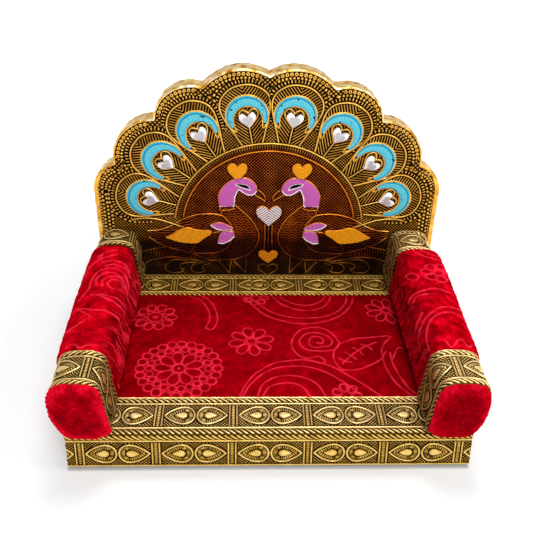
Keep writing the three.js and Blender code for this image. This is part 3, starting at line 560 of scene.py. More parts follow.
def swollen(rings, held, cap):
    """How far cloth through coarse rings moves under air pressure, in mm, at most the cap.

    The cloth is made ten times its size, so that the solver's usual stiffness suits it, and is held
    where the grid says so. It has settled after 20 steps.
    """
    piece = body("cloth_trial", rings * 10, sawn_wood)
    held_points = np.flatnonzero(held.ravel()).tolist()
    piece.vertex_groups.new(name="held").add(held_points, 1.0, "REPLACE")
    cloth = piece.modifiers.new("cloth", "CLOTH")
    cloth.settings.use_pressure = True
    cloth.settings.uniform_pressure_force = 4.0
    cloth.settings.effector_weights.gravity = 0.0
    cloth.settings.vertex_group_mass = "held"
    cloth.settings.tension_stiffness = cloth.settings.compression_stiffness = 25.0
    for step in range(1, 21):
        bpy.context.scene.frame_set(step)
    moved = piece.evaluated_get(bpy.context.evaluated_depsgraph_get()).data
    after = np.zeros(len(moved.vertices) * 3, np.float32)
    moved.vertices.foreach_get("co", after)
    shift = after.reshape(rings.shape) * 100 - rings
    bpy.data.objects.remove(piece)
    bpy.context.scene.frame_set(1)
    length = np.linalg.norm(shift, axis=-1, keepdims=True)
    return shift * np.minimum(1, cap / np.maximum(length, 1e-9))


def circle(x, y, radius, count=60):
    """A closed circle as a path."""
    t = np.linspace(0, 2 * np.pi, count)
    return np.column_stack([x + radius * np.cos(t), y + radius * np.sin(t)])


def circles_round(x, y, reach, number, radius, count):
    """Circles in a ring round a point, each a path."""
    turns = np.arange(number) * 2 * np.pi / number
    return [circle(x + reach * np.cos(a), y + reach * np.sin(a), radius, count) for a in turns]


def petals(x, y, near, far, count, half, turn=0.0):
    """Closed oval petals from a near to a far radius round a point, each a path."""
    t = np.linspace(0, 2 * np.pi, 17)
    out = near + (far - near) * (1 - np.cos(t)) / 2
    aside = half * np.sin(t) * (0.55 + 0.45 * (1 - np.cos(t)) / 2)
    turns = turn + np.arange(count) * 2 * np.pi / count
    return [
        np.column_stack([
            x + out * np.cos(a) - aside * np.sin(a), y + out * np.sin(a) + aside * np.cos(a)
        ]) for a in turns
    ]


def drawn_lines(x, y, paths, half):
    """1 on the paths, fading to 0 at their half width."""
    line = np.zeros(x.shape)
    for path in paths:
        apart, _ = nearest(x, y, path, half)
        line = np.maximum(line, ridge(apart, half))
    return line


def runs(*lists):
    """Smooth paths through lists of points."""
    return [smooth_run(points, 4 * len(points) + 4) for points in lists]


# Flowers, scrolls and a ringed medallion on the left, as paths over the seat from above.
medallion = (-49.1, -28.9)
seat_paths = [
    *petals(-67, 18.7, 6.0, 13, 10, 3.3), circle(-67, 18.7, 4.7, 30), circle(-67, 18.7, 1.2, 12),
    *petals(-9.1, -4.9, 3.4, 13, 8, 3.7, 0.2), circle(-9.1, -4.9, 2.6, 20),
    circle(*medallion, 3.4, 24), circle(*medallion, 0.5, 8), *petals(*medallion, 3.8, 13.8, 9, 4.0, 0.3),
    *circles_round(*medallion, 21.3, 24, 2.7, 16), *circles_round(*medallion, 16.3, 22, 2.1, 14),
    *petals(-6, 39.2, 2.5, 8, 7, 2.4), *petals(74.5, 25.8, 3.2, 12.8, 9, 3.4),
    *petals(41.4, -49.9, 2.5, 8, 7, 2.4), circle(74.5, 25.8, 2.4, 18),
    *runs(
        [(-48.1, 42.1), (-41.4, 37.2), (-36.2, 28.3), (-34, 17.7), (-36, 7.5)],
        [(-40, 42.1), (-33.6, 33.7), (-30.1, 22.9), (-29.5, 13.8), (-32.2, 6.3), (-36, 7.5)],
        [(42.1, -7), (39.1, 1.6), (33.7, 7.3), (27.9, 8.4), (20.2, 5.6), (15.4, -1.5), (14.2, -9.2),
         (16.9, -16.7), (21.9, -20.4), (28.6, -18.5), (32.2, -22.6), (29.9, -24.8), (22.7, -22.3)],
        [(42.1, -7), (39.1, -12.3), (33.7, -13.8), (27.1, -13.8), (21.1, -11.5), (18.8, -5.4), (21.9, 0.8),
         (27.5, 3.2), (33.2, 1.9), (37.7, -3.1), (36.9, -8.5), (32.2, -10), (26.4, -10.5), (24.3, -6.2),
         (26.1, -1.2), (30.1, -0.7), (32.8, -3.1), (32, -7), (29.1, -6.2)],
        [(42.1, -7), (51.3, -2.8), (61.3, -1.3), (68.3, -0.3), (73, -0.5), (68.2, -7), (65.4, -13.9),
         (65.1, -20.1), (58.7, -25.3), (50.7, -29.8), (42.3, -30.5), (39, -26.9), (37.2, -19.7),
         (38.6, -13.1), (42.1, -7)],
        [(42, -24.8), (48.6, -16.8), (55.1, -10.8), (63.5, -6)],
        [(40.5, -20.5), (43.4, -22.8), (47, -24)], [(44.2, -14.6), (47.4, -18.2), (50, -21.4)],
        [(49.4, -11), (52.4, -13.2), (54.2, -17.2)], [(54.6, -7.8), (57.8, -9.4), (60.2, -12.8)],
        [(-22.3, 44.7), (-12.8, 38.3), (-2.6, 23.2), (8.3, 15.5), (20.2, 12.2), (32.3, 13.3), (43.9, 18.9),
         (52.3, 29.3), (56.3, 41.1)],
        [(-11.7, 41), (0.5, 26.7), (10.5, 19.8), (22.5, 17.7), (34.8, 18.9), (44.5, 24.9), (50.2, 33.8),
         (51.8, 41.1)],
        [(4.6, 40.7), (11, 31.1), (19, 26.7), (26.1, 25.6), (33.5, 27.6), (39.2, 33.8), (41.6, 41.1)],
        [(9.1, 40.7), (15.3, 34.1), (23.4, 31.1), (30.8, 32.3), (36.4, 37.4), (38, 41.1)],
        [(-15.3, -49.6), (-10, -37.8), (-1.7, -28.2), (7.7, -23.3), (21.8, -21.9), (34.4, -26.9),
         (42.8, -33.9), (52.5, -43.4), (60.3, -50.6)],
        [(-14, -50.3), (-8.2, -39.8), (0.1, -31), (10.3, -27.5), (21.4, -27.6), (32, -32.5), (40.3, -40),
         (48.2, -48.6)],
        [(-6.1, -50.3), (-2.9, -41.9), (3.6, -36.5), (11.8, -34.9), (20.7, -37.3), (26.6, -42.7),
         (30.3, -50.5)],
        [(-3.5, -50.3), (0.6, -43.9), (7, -41.2), (13.2, -41.3), (18.4, -44.6), (22, -50.4)],
        [(67.9, -14.6), (65.4, -19.8), (65.9, -29.8), (69.4, -41.5), (77.8, -51.4)],
        [(70.2, -15.4), (69.9, -22.7), (71.4, -32.7), (74.9, -43.5), (79.1, -49.4)],
        [(70.6, -21.3), (75.1, -11.6), (78.6, -10.9)],
    ),
]

# Velvet takes hardly any gloss: its colour runs from dark, where the pile stands, to light, where it
# lies. The real pile is too fine to show, so its noise is drawn at 0.7 mm.
velvet, shader = new_material("wine_red_crushed_velvet")
velvet_place = places(velvet)
pile_lean = result(velvet, "MULTIPLY_ADD", noise(velvet, velvet_place, 1400.0, 2.0), 0.35, -0.17)
brushed = result(velvet, "ADD", noise(velvet, velvet_place, 160.0, 8.0, 0.75), pile_lean)
# The mesh carries crushed patches and painted shade in one attribute.
lying = result(velvet, "ADD", brushed, carried(velvet, "crush"))
nap_tone = tones(velvet, lying, (0.1, 0x480004), (0.5, 0x8A0009), (0.75, 0xC00014), (1.0, 0xE60C28))
wire(
    velvet, shader, Base_Color=mixed(velvet, carried(velvet, "line"), nap_tone, srgb(0xF42A44)),
    Roughness=0.9, Sheen_Weight=0.2, Sheen_Roughness=0.4, Sheen_Tint=srgb(0xFF1428),
    Specular_IOR_Level=0.0, Normal=bumps(velvet, brushed, 0.55, 0.0006),
)


def pad_top(x, y):
    """Height over the seat board: 0.6 at the rim, then 0.9 more over 14 mm, as a quarter round.

    The rear edge, pressed against the strip, rises twice as fast.
    """
    inset = np.minimum(pad_half + 0.3 - np.abs(x), np.minimum(y - pad_front + 0.2, 2 * (pad_rear - y) + 3))
    rise = np.clip(inset / 14, 0, 1)
    return 0.6 + 0.9 * np.sqrt(1 - (1 - rise) ** 2)


def pad_rings(columns, rows):
    """The pad's top as rows from front to rear, and the foot points under each row's two ends."""
    x = np.linspace(-pad_half, pad_half, columns)[None, :]
    y = np.linspace(pad_front, pad_rear, rows)[:, None]
    top = np.stack([x + 0 * y, y + 0 * x, seat_top + pad_top(x, y)], -1)
    feet = [top[:, end] * (1, 1, 0) + (0, 0, seat_top) for end in (0, -1)]
    return top, feet


coarse_top, coarse_feet = pad_rings(coarse_columns, coarse_rows)
coarse_rings, = with_foot(coarse_top, *coarse_feet)
# The cloth is glued along its rim and underneath.
still = np.ones(coarse_rings.shape[:2], bool)
still[1:-1, 1:coarse_columns - 1] = False
pad_shift = swollen(coarse_rings, still, 0.8)[:, :coarse_columns]
top, feet = pad_rings(fine_columns, fine_rows)
top += np.einsum(
    "ai,bj,ijk->abk", between(fine_rows, coarse_rows), between(fine_columns, coarse_columns), pad_shift
)
x, y = top[..., 0], top[..., 1]
line = drawn_lines(x, y, seat_paths, 0.62) * np.clip(0.72 + 0.3 * wander(x, y, 9.0, 25), 0.3, 1)
top[..., 2] += 0.3 * line + 0.12 * wander(x, y, 14.0, 21) + 0.06 * wander(x, y, 4.0, 22)
# The pile is crushed in patches, and is painted darker towards the arms: painted shade.
crush = 0.05 * wander(x, y, 22.0, 23) + 0.04 * wander(x, y, 7.0, 24)
crush -= 0.03 + 0.06 * np.clip((np.abs(x) - 40) / 25, 0, 1)
pad, line, crush = with_foot(top, *feet, line, crush)
cushion = body("seat_cushion", pad, velvet, line=0.95 * line, crush=crush)
ride_seat(cushion, "red_velvet", "seat_pad")


# Arms: a rolled velvet sleeve over wadding on each wooden core, closed in front by a cap of longer
# pile, and bound at both ends by a saddle of the pressed strip, pattern outwards.
arm_width, arm_height, arm_inner, arm_foot = 28.2, 35.6, 77.6, 21.1
# The sleeve is tucked under the saddles from 55.2 mm in front of the middle to about 45.5 mm behind it.
sleeve_front, sleeve_rear, bare_front, bare_rear = -78.0, 67.2, -55.2, 45.5
sleeve_first, sleeve_last = 0.02, 0.98
section_shares = np.linspace(0, 1, 401)
coarse_stops, coarse_turns, fine_stops, fine_turns = 41, 73, 241, 300
# The pressed lines on an arm are drawn as the camera sees them on this level, just under its crown.
crown_level = 56.3
# The section runs from the inner foot over the crown to the outer foot, in shares of width and height.
arm_section = smooth_run(
    np.array([
        (0.26, 0.018), (0.11, 0.06), (0.02, 0.125), (0, 0.22), (0.03, 0.34), (0.06, 0.5), (0.088, 0.67),
        (0.112, 0.83), (0.15, 0.905), (0.235, 0.965), (0.4, 1), (0.57, 1), (0.74, 0.985), (0.875, 0.94),
        (0.93, 0.875), (0.972, 0.775), (1, 0.64), (0.995, 0.48), (0.965, 0.32), (0.9, 0.18), (0.805, 0.07),
        (0.69, 0.016),
    ]) * (arm_width, arm_height), len(section_shares),
)
arm_tangent = np.gradient(arm_section, axis=0)
arm_tangent /= np.hypot(*arm_tangent.T)[:, None]
arm_out = np.column_stack([-arm_tangent[:, 1], arm_tangent[:, 0]])
arm_girth = np.hypot(*np.diff(arm_section, axis=0).T).sum()


def arm_surface(side, share, y, out):
    """Points on an arm at a share of its section's length, moved out along the section's normal."""
    columns = (*arm_section.T, *arm_out.T)
    x, up, out_x, out_up = (np.interp(share, section_shares, column) for column in columns)
    return np.stack([side * (arm_inner + x + out_x * out), y + 0 * share, arm_foot + up + out_up * out], -1)


def seen_on(points, level):
    """Where the camera's ray through each point meets a level."""
    reach = (level - camera_place[2]) / (points[..., 2] - camera_place[2])
    return (camera_place[:2] + (points[..., :2] - camera_place[:2]) * reach[..., None]).transpose(2, 0, 1)


# Scrolls and leaves over the left (-1) and the right arm, from above.
arm_paths = {
    -1: runs(
        [(-103.2, -11.9), (-99.8, -0.2), (-100, 6.8), (-98.4, 16.1), (-93.5, 21.6), (-87.5, 20.9),
         (-82.2, 14.8), (-78.7, 5.6), (-76.3, -7), (-73.6, -16.6)],
        [(-96.4, 4.3), (-97.3, 9.5), (-95.3, 14.8), (-89.8, 16.8), (-84, 12.1), (-80.7, 4.3), (-78, -4.6),
         (-75.5, -13.1)],
        [(-86.4, -0.2), (-90, 4.3), (-89.5, 8.2), (-86.5, 9.5), (-83.2, 6.9), (-80.9, 0.5)],
        [(-97.4, -5.8), (-92.3, -7), (-85.3, -11.9), (-78.8, -19), (-73.8, -30.4)],
        [(-102, -21.3), (-99.8, -19), (-93.6, -19.6), (-86.5, -21.3), (-80.3, -27), (-76.3, -35.9)],
        [(-103.9, -40.1), (-100.7, -34.8), (-97.2, -29.3), (-94, -26.5), (-97.7, -23), (-102.5, -19)],
        [(-104.5, 13.4), (-103.3, 22.9), (-99.1, 32.8), (-97.8, 38.7)],
        [(-104, 18.8), (-100.6, 28.6), (-95.5, 34.3), (-89.9, 37.3)],
        [(-101, 33.5), (-96.5, 39.5), (-90.5, 42.8)], [(-97, 28), (-90.5, 29.8), (-83.5, 26), (-79.5, 17)],
        [(-95, 24.5), (-88.5, 25.3), (-82, 20.5), (-78, 10.5)],
        [(-97.8, -5.8), (-90.4, -5.8), (-82.9, -9.5), (-77.7, -16.6), (-73.8, -25.9)],
        [(-93, 3), (-93.6, 9), (-90.5, 12.8), (-86, 12.6), (-82.4, 8), (-79.5, 0)],
        [(-101.6, -52.5), (-99.7, -49.5), (-96.3, -50.5), (-95.3, -52.5), (-91.9, -50.5), (-87, -50)],
    ),
    1: [
        *petals(100.4, 17.2, 3.4, 10.0, 7, 3.7, 0.25), circle(100.4, 17.2, 2.8, 18),
        circle(84.1, 12.8, 3.6, 24),
        *runs(
            [(74.8, -54.6), (76.8, -42.5), (82.1, -29.7), (90.4, -19.9), (98.4, -16.9), (104.5, -21.5),
             (104.6, -29.7)],
            [(79.4, -54.6), (80.7, -42.5), (85.6, -29.7), (92.4, -23), (99.8, -22.2), (103.2, -28.2)],
            [(76.5, -14.5), (80.4, -6.6), (86.9, -1.7), (95, 0.8), (102.5, -3.3)],
            [(79.6, -13), (83, -7.4), (88.1, -4.9), (93.9, -4.1)],
            [(90.1, 43.5), (94.9, 36.7), (101.1, 32.9), (107.2, 31)],
            [(94.3, 43.9), (99.3, 38.7), (105.6, 34.8)],
            [(89.6, -46.6), (91.7, -52), (97.6, -45.3), (100.1, -52), (102.2, -50.7)],
            [(82.7, -22.2), (78.7, -31.1), (75.1, -42.5), (74.4, -54.6), (76.1, -62.3)],
        ),
    ],
}
# Flowers and rings on both outer faces, along Y and up from the foot.
outer_paths = [
    *petals(30, 14, 2.6, 9, 8, 2.8), circle(30, 14, 2.0, 16), circle(-12, 10, 9.5), circle(-12, 10, 5.5),
    *petals(-42, 15, 2.4, 8, 7, 2.5), circle(8, 19, 4.5, 30),
]


def sleeve(side, stops, turns):
    """Points and bare length of a sleeve: tucked under both saddles, and round between them.

    Past a saddle it rises as a quarter round 5 mm long. Its outer side is fuller towards the rear, and
    its inner side is pressed in.
    """
    share = np.linspace(sleeve_first, sleeve_last, stops)[None, :]
    y = np.linspace(sleeve_front, sleeve_rear, turns)[:, None]
    bare = np.minimum(y - bare_front, bare_rear - 1.8 * side - y)
    rise = np.sqrt(1 - (1 - np.clip(bare / 5, 0, 1)) ** 2)
    outer = np.exp(-(((share - 0.72) / 0.2) ** 2)) * (1.7 + (0.9 + 0.5 * side) * np.clip((y + 20) / 40, 0, 1))
    inner = np.clip((0.46 - share) / 0.15, 0, 1) * np.clip(share / 0.12, 0, 1)
    out = np.where(bare > 0, -1.2 + (1.8 + outer - 1.9 * inner) * rise, -1.9)
    return arm_surface(side, share + 0 * y, y, out + 0 * share), bare


for side, word in ((-1, "left"), (1, "right")):
    coarse, bare = sleeve(side, coarse_stops, coarse_turns)
    # The cloth is held under the saddles and along both feet.
    stop = np.arange(coarse_stops)
    arm_shift = swollen(coarse, (bare <= 1.5) | (stop < 2) | (stop > coarse_stops - 3), 1.4)
    points, bare = sleeve(side, fine_stops, fine_turns)
    points += np.einsum(
        "ai,bj,ijk->abk", between(fine_turns, coarse_turns), between(fine_stops, coarse_stops), arm_shift
    )
    share = np.linspace(sleeve_first, sleeve_last, fine_stops)[None, :]
    along_y, height, round_arm = points[..., 1], points[..., 2], share * arm_girth
    seen_x, seen_y = seen_on(points, crown_level)
    line = drawn_lines(seen_x, seen_y, arm_paths[side], 0.8) * np.clip((height - 42) / 5, 0, 1)
    line = np.maximum(line, drawn_lines(along_y, height - arm_foot, outer_paths, 0.65) * (share > 0.62))
    # The inner face's pile is crushed into streaks up and down: lines where a ripple, five times as long up
    # as along, passes zero, with painted light on one side and painted shade on the other. The whole inner
    # face is painted darker, painted shade, and its light streaks are stronger on the left arm: painted
    # light.
    inner = np.clip((0.44 - share) / 0.1, 0, 1) * np.clip(bare / 4, 0, 1)
    streak = wander(along_y + 0.25 * height, height * 0.2, 6.5 - 1.5 * side, 31 + side)
    line *= np.clip(0.75 + 0.35 * wander(along_y, round_arm, 8.0, 35 + side), 0.25, 1)
    line = np.maximum(line, (0.55 - 0.25 * side) * ridge(streak - 0.12, 0.2) * inner)
    crush = 0.14 * wander(along_y, round_arm, 11.0, 45 + side)
    crush += 0.1 * wander(along_y, round_arm, 4.5, 47 + side)
    crush += 0.12 - (0.12 + 0.35 * ridge(streak + 0.25, 0.3)) * inner
    rough = 0.22 * wander(along_y, round_arm, 9.0, 41 + side)
    rough += 0.16 * wander(along_y, round_arm, 3.0, 43 + side)
    lift = (0.3 * line + rough * np.clip(bare / 3, 0, 1))[..., None]
    out_x, out_up = (np.interp(share[0], section_shares, column) for column in arm_out.T)
    points[..., 0::2] += lift * np.stack([side * out_x, out_up], -1)
    covering = body(f"arm_sleeve_{word}", points, velvet, line=line * 0.85, crush=crush)
    ride_seat(covering, "red_velvet", f"{word}_arm_velvet")

# The caps' pile is long and stands in tufts of about 2.4 mm, with painted shade between them and painted
# highlights at their tips.
shaggy, shader = new_material("scarlet_long_pile_velvet")
tufts = noise(shaggy, places(shaggy), 420.0, 5.0, 0.7)
painted_tuft_light = result(shaggy, "MULTIPLY_ADD", carried(shaggy, "line"), 0.3, tufts)
wire(
    shaggy, shader, Base_Color=tones(shaggy, painted_tuft_light, (0.3, 0x78000A), (0.55, 0xA40010), (0.85, 0xDC0C28)),
    Roughness=0.92, Sheen_Weight=0.2, Sheen_Roughness=0.45, Sheen_Tint=srgb(0xFF1428),
    Specular_IOR_Level=0.0, Normal=bumps(shaggy, tufts, 0.8, 0.0008),
)

# The saddles' foil is as pale as the top front strip's, and its inner faces are painted brown, painted
# shade, which ends between 79.5 and 84.5 mm from the throne's middle.
saddle_foil = pale_reflecting_foil.copy()
saddle_foil.name = "pale_gold_pressed_foil_with_painted_shade"
saddle_shader = saddle_foil.node_tree.nodes["Principled BSDF"]
unshaded_tone = saddle_shader.inputs["Base Color"].links[0].from_socket
saddle_across = add_node(saddle_foil, "ShaderNodeSeparateXYZ", inputs={0: places(saddle_foil)}).outputs["X"]
from_middle = result(saddle_foil, "ABSOLUTE", saddle_across)
painted_shade = spread(saddle_foil, from_middle, 0.75, 0.0, 0.0795, 0.0845)
wire(
    saddle_foil, saddle_shader, Base_Color=mixed(saddle_foil, painted_shade, unshaded_tone, srgb(0x8C6A40), "MULTIPLY")
)

# The cap's profile: how far out from the section, how far in towards its middle, and where along Y.
cap_profile = smooth_run([(0.0, 0.0), (0.3, 0.9), (1.6, 2.1), (4.5, 2.9), (9.0, 3.3), (14.0, 3.4)], 60)
# How far each saddle's first bar lies from the middle of the arm's girth towards the seat.
saddle_bars = {(-1, "front"): 3.3, (-1, "rear"): 9.3, (1, "front"): 1.3, (1, "rear"): 10.2}
cap_front = -79.6
# From the section's corner to the point that a cap's rings close in on, and how far they close in.
cap_centre, cap_reach = (14.6, 18.6), 14.3


def on_arm(side, start):
    """Places on a saddle: along is the way round the section, across runs to the rear from a start.

    It sinks into the padding, most at its inner foot, but the right front saddle's foot stands out.
    """
    def place(along, across, out):
        share = along / arm_girth
        sunk = 0.6 + (0.2 - 0.6 * side) * np.exp(-(((share - 0.32) / 0.12) ** 2))
        if side < 0 or start > 0:
            sunk += 0.4 + 0.4 * side + (1.0 - 0.3 * side) * np.clip((0.27 - share) / 0.08, 0, 1)
        return arm_surface(side, share, start + across, out - np.minimum(sunk, 2.05))
    return place


share = np.linspace(0.0, 1.0, 400)[None, :]
inward, forward = cap_profile[:, :1], cap_profile[:, 1:]
for side, word in ((-1, "left"), (1, "right")):
    # The pile bulges on the outer side, at 0.7 of the way round, and on the inner side, at 0.3.
    wide = -0.3 + (0.9 - 0.5 * side) * np.exp(-(((share - 0.7) / 0.2) ** 2))
    wide += (0.55 + 0.35 * side) * np.exp(-(((share - 0.3) / 0.12) ** 2))
    rim = arm_surface(side, share + 0 * inward, cap_front + 0 * inward, wide + 0 * inward)
    middle = np.array([side * (arm_inner + cap_centre[0]), cap_front, arm_foot + cap_centre[1]])
    points = middle + (rim - middle) * (1 - inward / cap_reach)[..., None]
    shag = 0.3 * wander(points[..., 0], points[..., 2], 3.0, 51 + side)
    shag += 0.28 * wander(points[..., 0], points[..., 2], 1.4, 53 + side)
    points[..., 1] -= forward + shag * np.clip(forward * 0.7, 0, 1)
    fibres = np.random.default_rng(57 + side).uniform(-0.25, 0.3, points.shape[:2])
    tuft = 0.35 * wander(share * arm_girth, 0 * inward, 2.2, 57 + side) + fibres
    tuft *= np.clip(1 - inward / 3, 0, 1)
    points += (points - middle) / 16 * tuft[..., None] * (1, 0, 1)
    back = arm_surface(side, share, np.full((1, 1), cap_front + 0.8), 0 * share - 1.0)
    # The cap is painted lighter within 5 mm of its rim, painted light, and the right cap darker, painted
    # shade.
    lit = 1.3 * np.clip(1 - inward / 5, 0, 1) + 0.35 * wander(points[..., 0], points[..., 2], 12.0, 55 + side)
    line = np.concatenate([0 * share, lit - 0.15 - 0.3 * (side > 0)], 0)
    points = np.concatenate([back, points], 0)
    cap = body(f"arm_cap_{word}", points, shaggy, line=line)
    ride_seat(cap, "red_velvet", f"{word}_arm_front_cap")

    # Where each saddle starts along Y, and its width; the rear ones end under the panel.
    for start, width, end_word in ((-80.1, 25.1, "front"), (45.5 - 2.5 * side, 21.3 + 2.5 * side, "rear")):
        # The right saddles' shade is raised by 18 %, painted light, and the left ones' not at all.
        strip_sheet(
            f"arm_saddle_{end_word}_{word}", f"{word}_arm_{end_word}_strip", on_arm(side, start),
            (0.04 * arm_girth, 0.96 * arm_girth), (0, width), arm_girth / 2 - saddle_bars[side, end_word],
            saddle_foil, painted_light=0.09 + 0.09 * side,
        )


# Foil face of the back: one sheet of tin foil pressed over a die with peacocks under an arch and
# feathers round it, lacquered gold at the rim and copper in the middle, with enamel brushed on.
# The sheet is glued to the board; places on it are taken across and up from the fan's centre.
panel_front, panel_back, fan_centre, fan_half = 68.4, 69.4, 56.7, 105.2
disc_radius, arch_inner, arch_outer = 56.0, 53.55, 58.45
# The pressed pattern sits 2.2 mm off the board's middle and is 2 % wider than high.
pattern_shift, pattern_stretch = 2.2, 1.02
# The turn from upright and the size of each feather on the left (-1) and the right.
feathers_on = {
    -1: list(zip(np.radians([10.2, 32.8, 53.5, 73.6]), (1.0, 1.05, 1.08, 1.02))),
    1: list(zip(np.radians([10.6, 32.3, 53.0, 73.6]), (1.0, 1.02, 1.045, 1.02))),
}
# Each scallop's turn from upright, in degrees, its circle's centre and its radius.
lobes = [(11.5, 74.75, 29.27), (32.3, 84.37, 21.33), (54.5, 82.7, 24.25), (72.9, 91.69, 17.56)]


def fan_reach(turn, grow=0.0):
    """Radius of the scalloped edge at a turn from upright: the farthest lobe circle, or the side.

    A lobe at angle a, with its centre at reach c and radius R, lies at c cos(t - a) +
    sqrt(R^2 - c^2 sin^2(t - a)). The side stands upright, and counts beyond 1.32 radians. Valleys are
    rounded over 0.8 mm: the logarithm of a sum stands for the greatest.
    """
    turn = np.abs(turn)
    reaches = [np.where(turn > 1.32, (fan_half + grow) / np.sin(np.maximum(turn, 1.0)), 0.0)]
    for angle, centre, radius in lobes:
        off = turn - np.radians(angle)
        root = (radius + grow) ** 2 - (centre * np.sin(off)) ** 2
        reaches.append(np.where(root > 0, centre * np.cos(off) + np.sqrt(np.maximum(root, 0)), 0))
    farthest = np.max(reaches, 0)
    return farthest + 0.8 * np.log(sum(np.exp((reach - farthest) / 0.8) for reach in reaches))


# Below this height, near the lowest valley, the edge foil's lip covers the rim's row of rings.
lip_top = 38.0
edge_turns = np.linspace(0, np.pi / 2, 260)
edge_reach = fan_reach(edge_turns)
fan_corners = np.flatnonzero((edge_reach[1:-1] < edge_reach[:-2]) & (edge_reach[1:-1] < edge_reach[2:])) + 1
# The cleft between the two halves, at a turn of 0, is a corner too.
fan_corners = np.append(0, fan_corners)
fan_edge = np.column_stack([edge_reach * np.sin(edge_turns), edge_reach * np.cos(edge_turns)])
fan_edge = np.vstack([fan_edge, [(fan_half, -36.0)]])


def heart(width, height):
    """Outline of a heart, its notch up.

    Across it is sin t to the 2.4, and up 13 cos t - 5 cos 2t - 2 cos 3t - cos 4t.
    """
    t = np.linspace(0, 2 * np.pi, 49)
    up = 13 * np.cos(t) - 5 * np.cos(2 * t) - 2 * np.cos(3 * t) - np.cos(4 * t)
    across = np.sign(np.sin(t)) * np.abs(np.sin(t)) ** 2.4
    return np.column_stack([across * width / 2, (up + 2.5) / 29 * height])


def scales(x, y, radius, gap):
    """Overlapping fish scales: arcs every gap round the lowest row's centre that covers a point."""
    arcs, open_ = np.zeros(x.shape), np.ones(x.shape, bool)
    row = np.floor(y / (radius / 2))
    for back in (2, 1, 0):
        level = (row - back) * radius / 2
        shift = (np.abs(row - back) % 2) * radius
        away = np.abs((x - shift + radius) % (2 * radius) - radius)
        distance = np.hypot(away, y - level)
        hit = open_ & (distance < radius)
        arcs[hit] = 0.5 + 0.5 * np.cos(2 * np.pi * distance[hit] / gap)
        open_ &= ~hit
    return arcs


def stripes(place, gap, share=0.5):
    """Raised lines a gap apart: a cosine, lowered and sharpened so that a share of it stands up."""
    return np.clip((np.cos(2 * np.pi * place / gap) - np.cos(np.pi * share)) * 1.1, 0, 1)


def beads(gone, apart, pitch, radius, full=1.35, shift=0.0):
    """A row of round beads a pitch apart along a path: full less the squared share of the radius."""
    place = ((gone / pitch + shift) % 1 - 0.5) * pitch
    return np.clip(full - (np.hypot(place, apart) / radius) ** 2, 0, 1)


class Relief:
    """Height in mm, shade, copper tone and enamel (colour and cover) at an array of places."""

    def __init__(self, x, up):
        self.x, self.up = x, up
        self.height, self.shade, self.copper = (np.zeros(x.shape) for _ in range(3))
        self.paint = np.zeros((*x.shape, 4))

    def lay(self, where, height, shade):
        """Puts a pattern where a mask says."""
        self.height = np.where(where, height, self.height)
        self.shade = np.where(where, shade, self.shade)

    def line(self, path, half=0.62, height=0.7):
        """A raised line along a path with a dark groove on either side."""
        apart, _ = nearest(self.x, self.up, path, half + 0.6)
        top = ridge(apart, half)
        groove = np.clip((apart - half) / 0.5, 0, 1)
        self.shade = np.maximum(self.shade * groove, top**0.4)
        self.height = np.maximum(self.height * groove, height * top)

    def enamel(self, where, colour, height=None):
        """Brushes a colour on where a mask says, raising the foil there."""
        self.paint[where] = srgb(colour)
        if height is not None:
            self.height = np.where(where, height, self.height)

    def enamelled(self, outline, half, lines, heights, colour, dark, below, free=True):
        """An outlined area in enamel over raised lines; where these are low a darker colour shows.

        Heights are the ground's and how far the lines rise over it.
        """
        self.line(outline, half)
        where = inside(self.x, self.up, outline) & free
        self.enamel(where, colour, heights[0] + heights[1] * lines)
        self.enamel(where & (lines < below), dark)


half_loop = [(0.38, -0.02), (0.6, 0.2), (0.85, 0.43), (1, 0.64), (0.93, 0.8), (0.66, 0.92), (0.34, 0.985)]
whole_loop = half_loop + [(0, 1.0)] + [(-across, out) for across, out in half_loop[::-1]]
feather_loop = smooth_run(np.array(whole_loop) * (14.7, 37.0), 90)


def on_feather(relief, turn, size):
    """The part of the relief near a feather, in places across it and along it from the arch."""
    along = (relief.x * np.sin(turn) + relief.up * np.cos(turn) - arch_outer) / size
    aside = relief.x * np.cos(turn) - relief.up * np.sin(turn)
    near = (np.abs(aside) < 24) & (along > 0.4) & (along < 46)
    part = Relief(aside[near], along[near])
    part.height, part.shade, part.paint = relief.height[near], relief.shade[near], relief.paint[near]
    return part, near


def put_back(relief, part, near):
    """Returns a part's fields to the relief."""
    relief.height[near], relief.shade[near], relief.paint[near] = part.height, part.shade, part.paint


def feather_border(relief, turn, size, from_edge):
    """Round a feather's loop: a row of radial ticks, and beads where the fan's edge is not near."""
    part, near = on_feather(relief, turn, size)
    apart, gone = nearest(part.x, part.up, feather_loop, 7.0)
    outside = ~inside(part.x, part.up, feather_loop) & (part.up > 12)
    ticks = stripes(gone, 1.7)
    part.lay(outside & (apart > 0.6) & (apart < 3.4), 0.05, 0.0)
    part.lay(outside & (apart > 1.3) & (apart < 3.1), 0.1 + 0.35 * ticks, 0.95 * ticks)
    bead = beads(gone, apart - 4.4, 2.2, 0.85, 1.25)
    free = outside & (from_edge[near] > 5.4)
    part.lay(free & (apart > 3.4) & (apart < 5.3), 0.05 + 0.4 * bead, 0.9 * bead)
    put_back(relief, part, near)


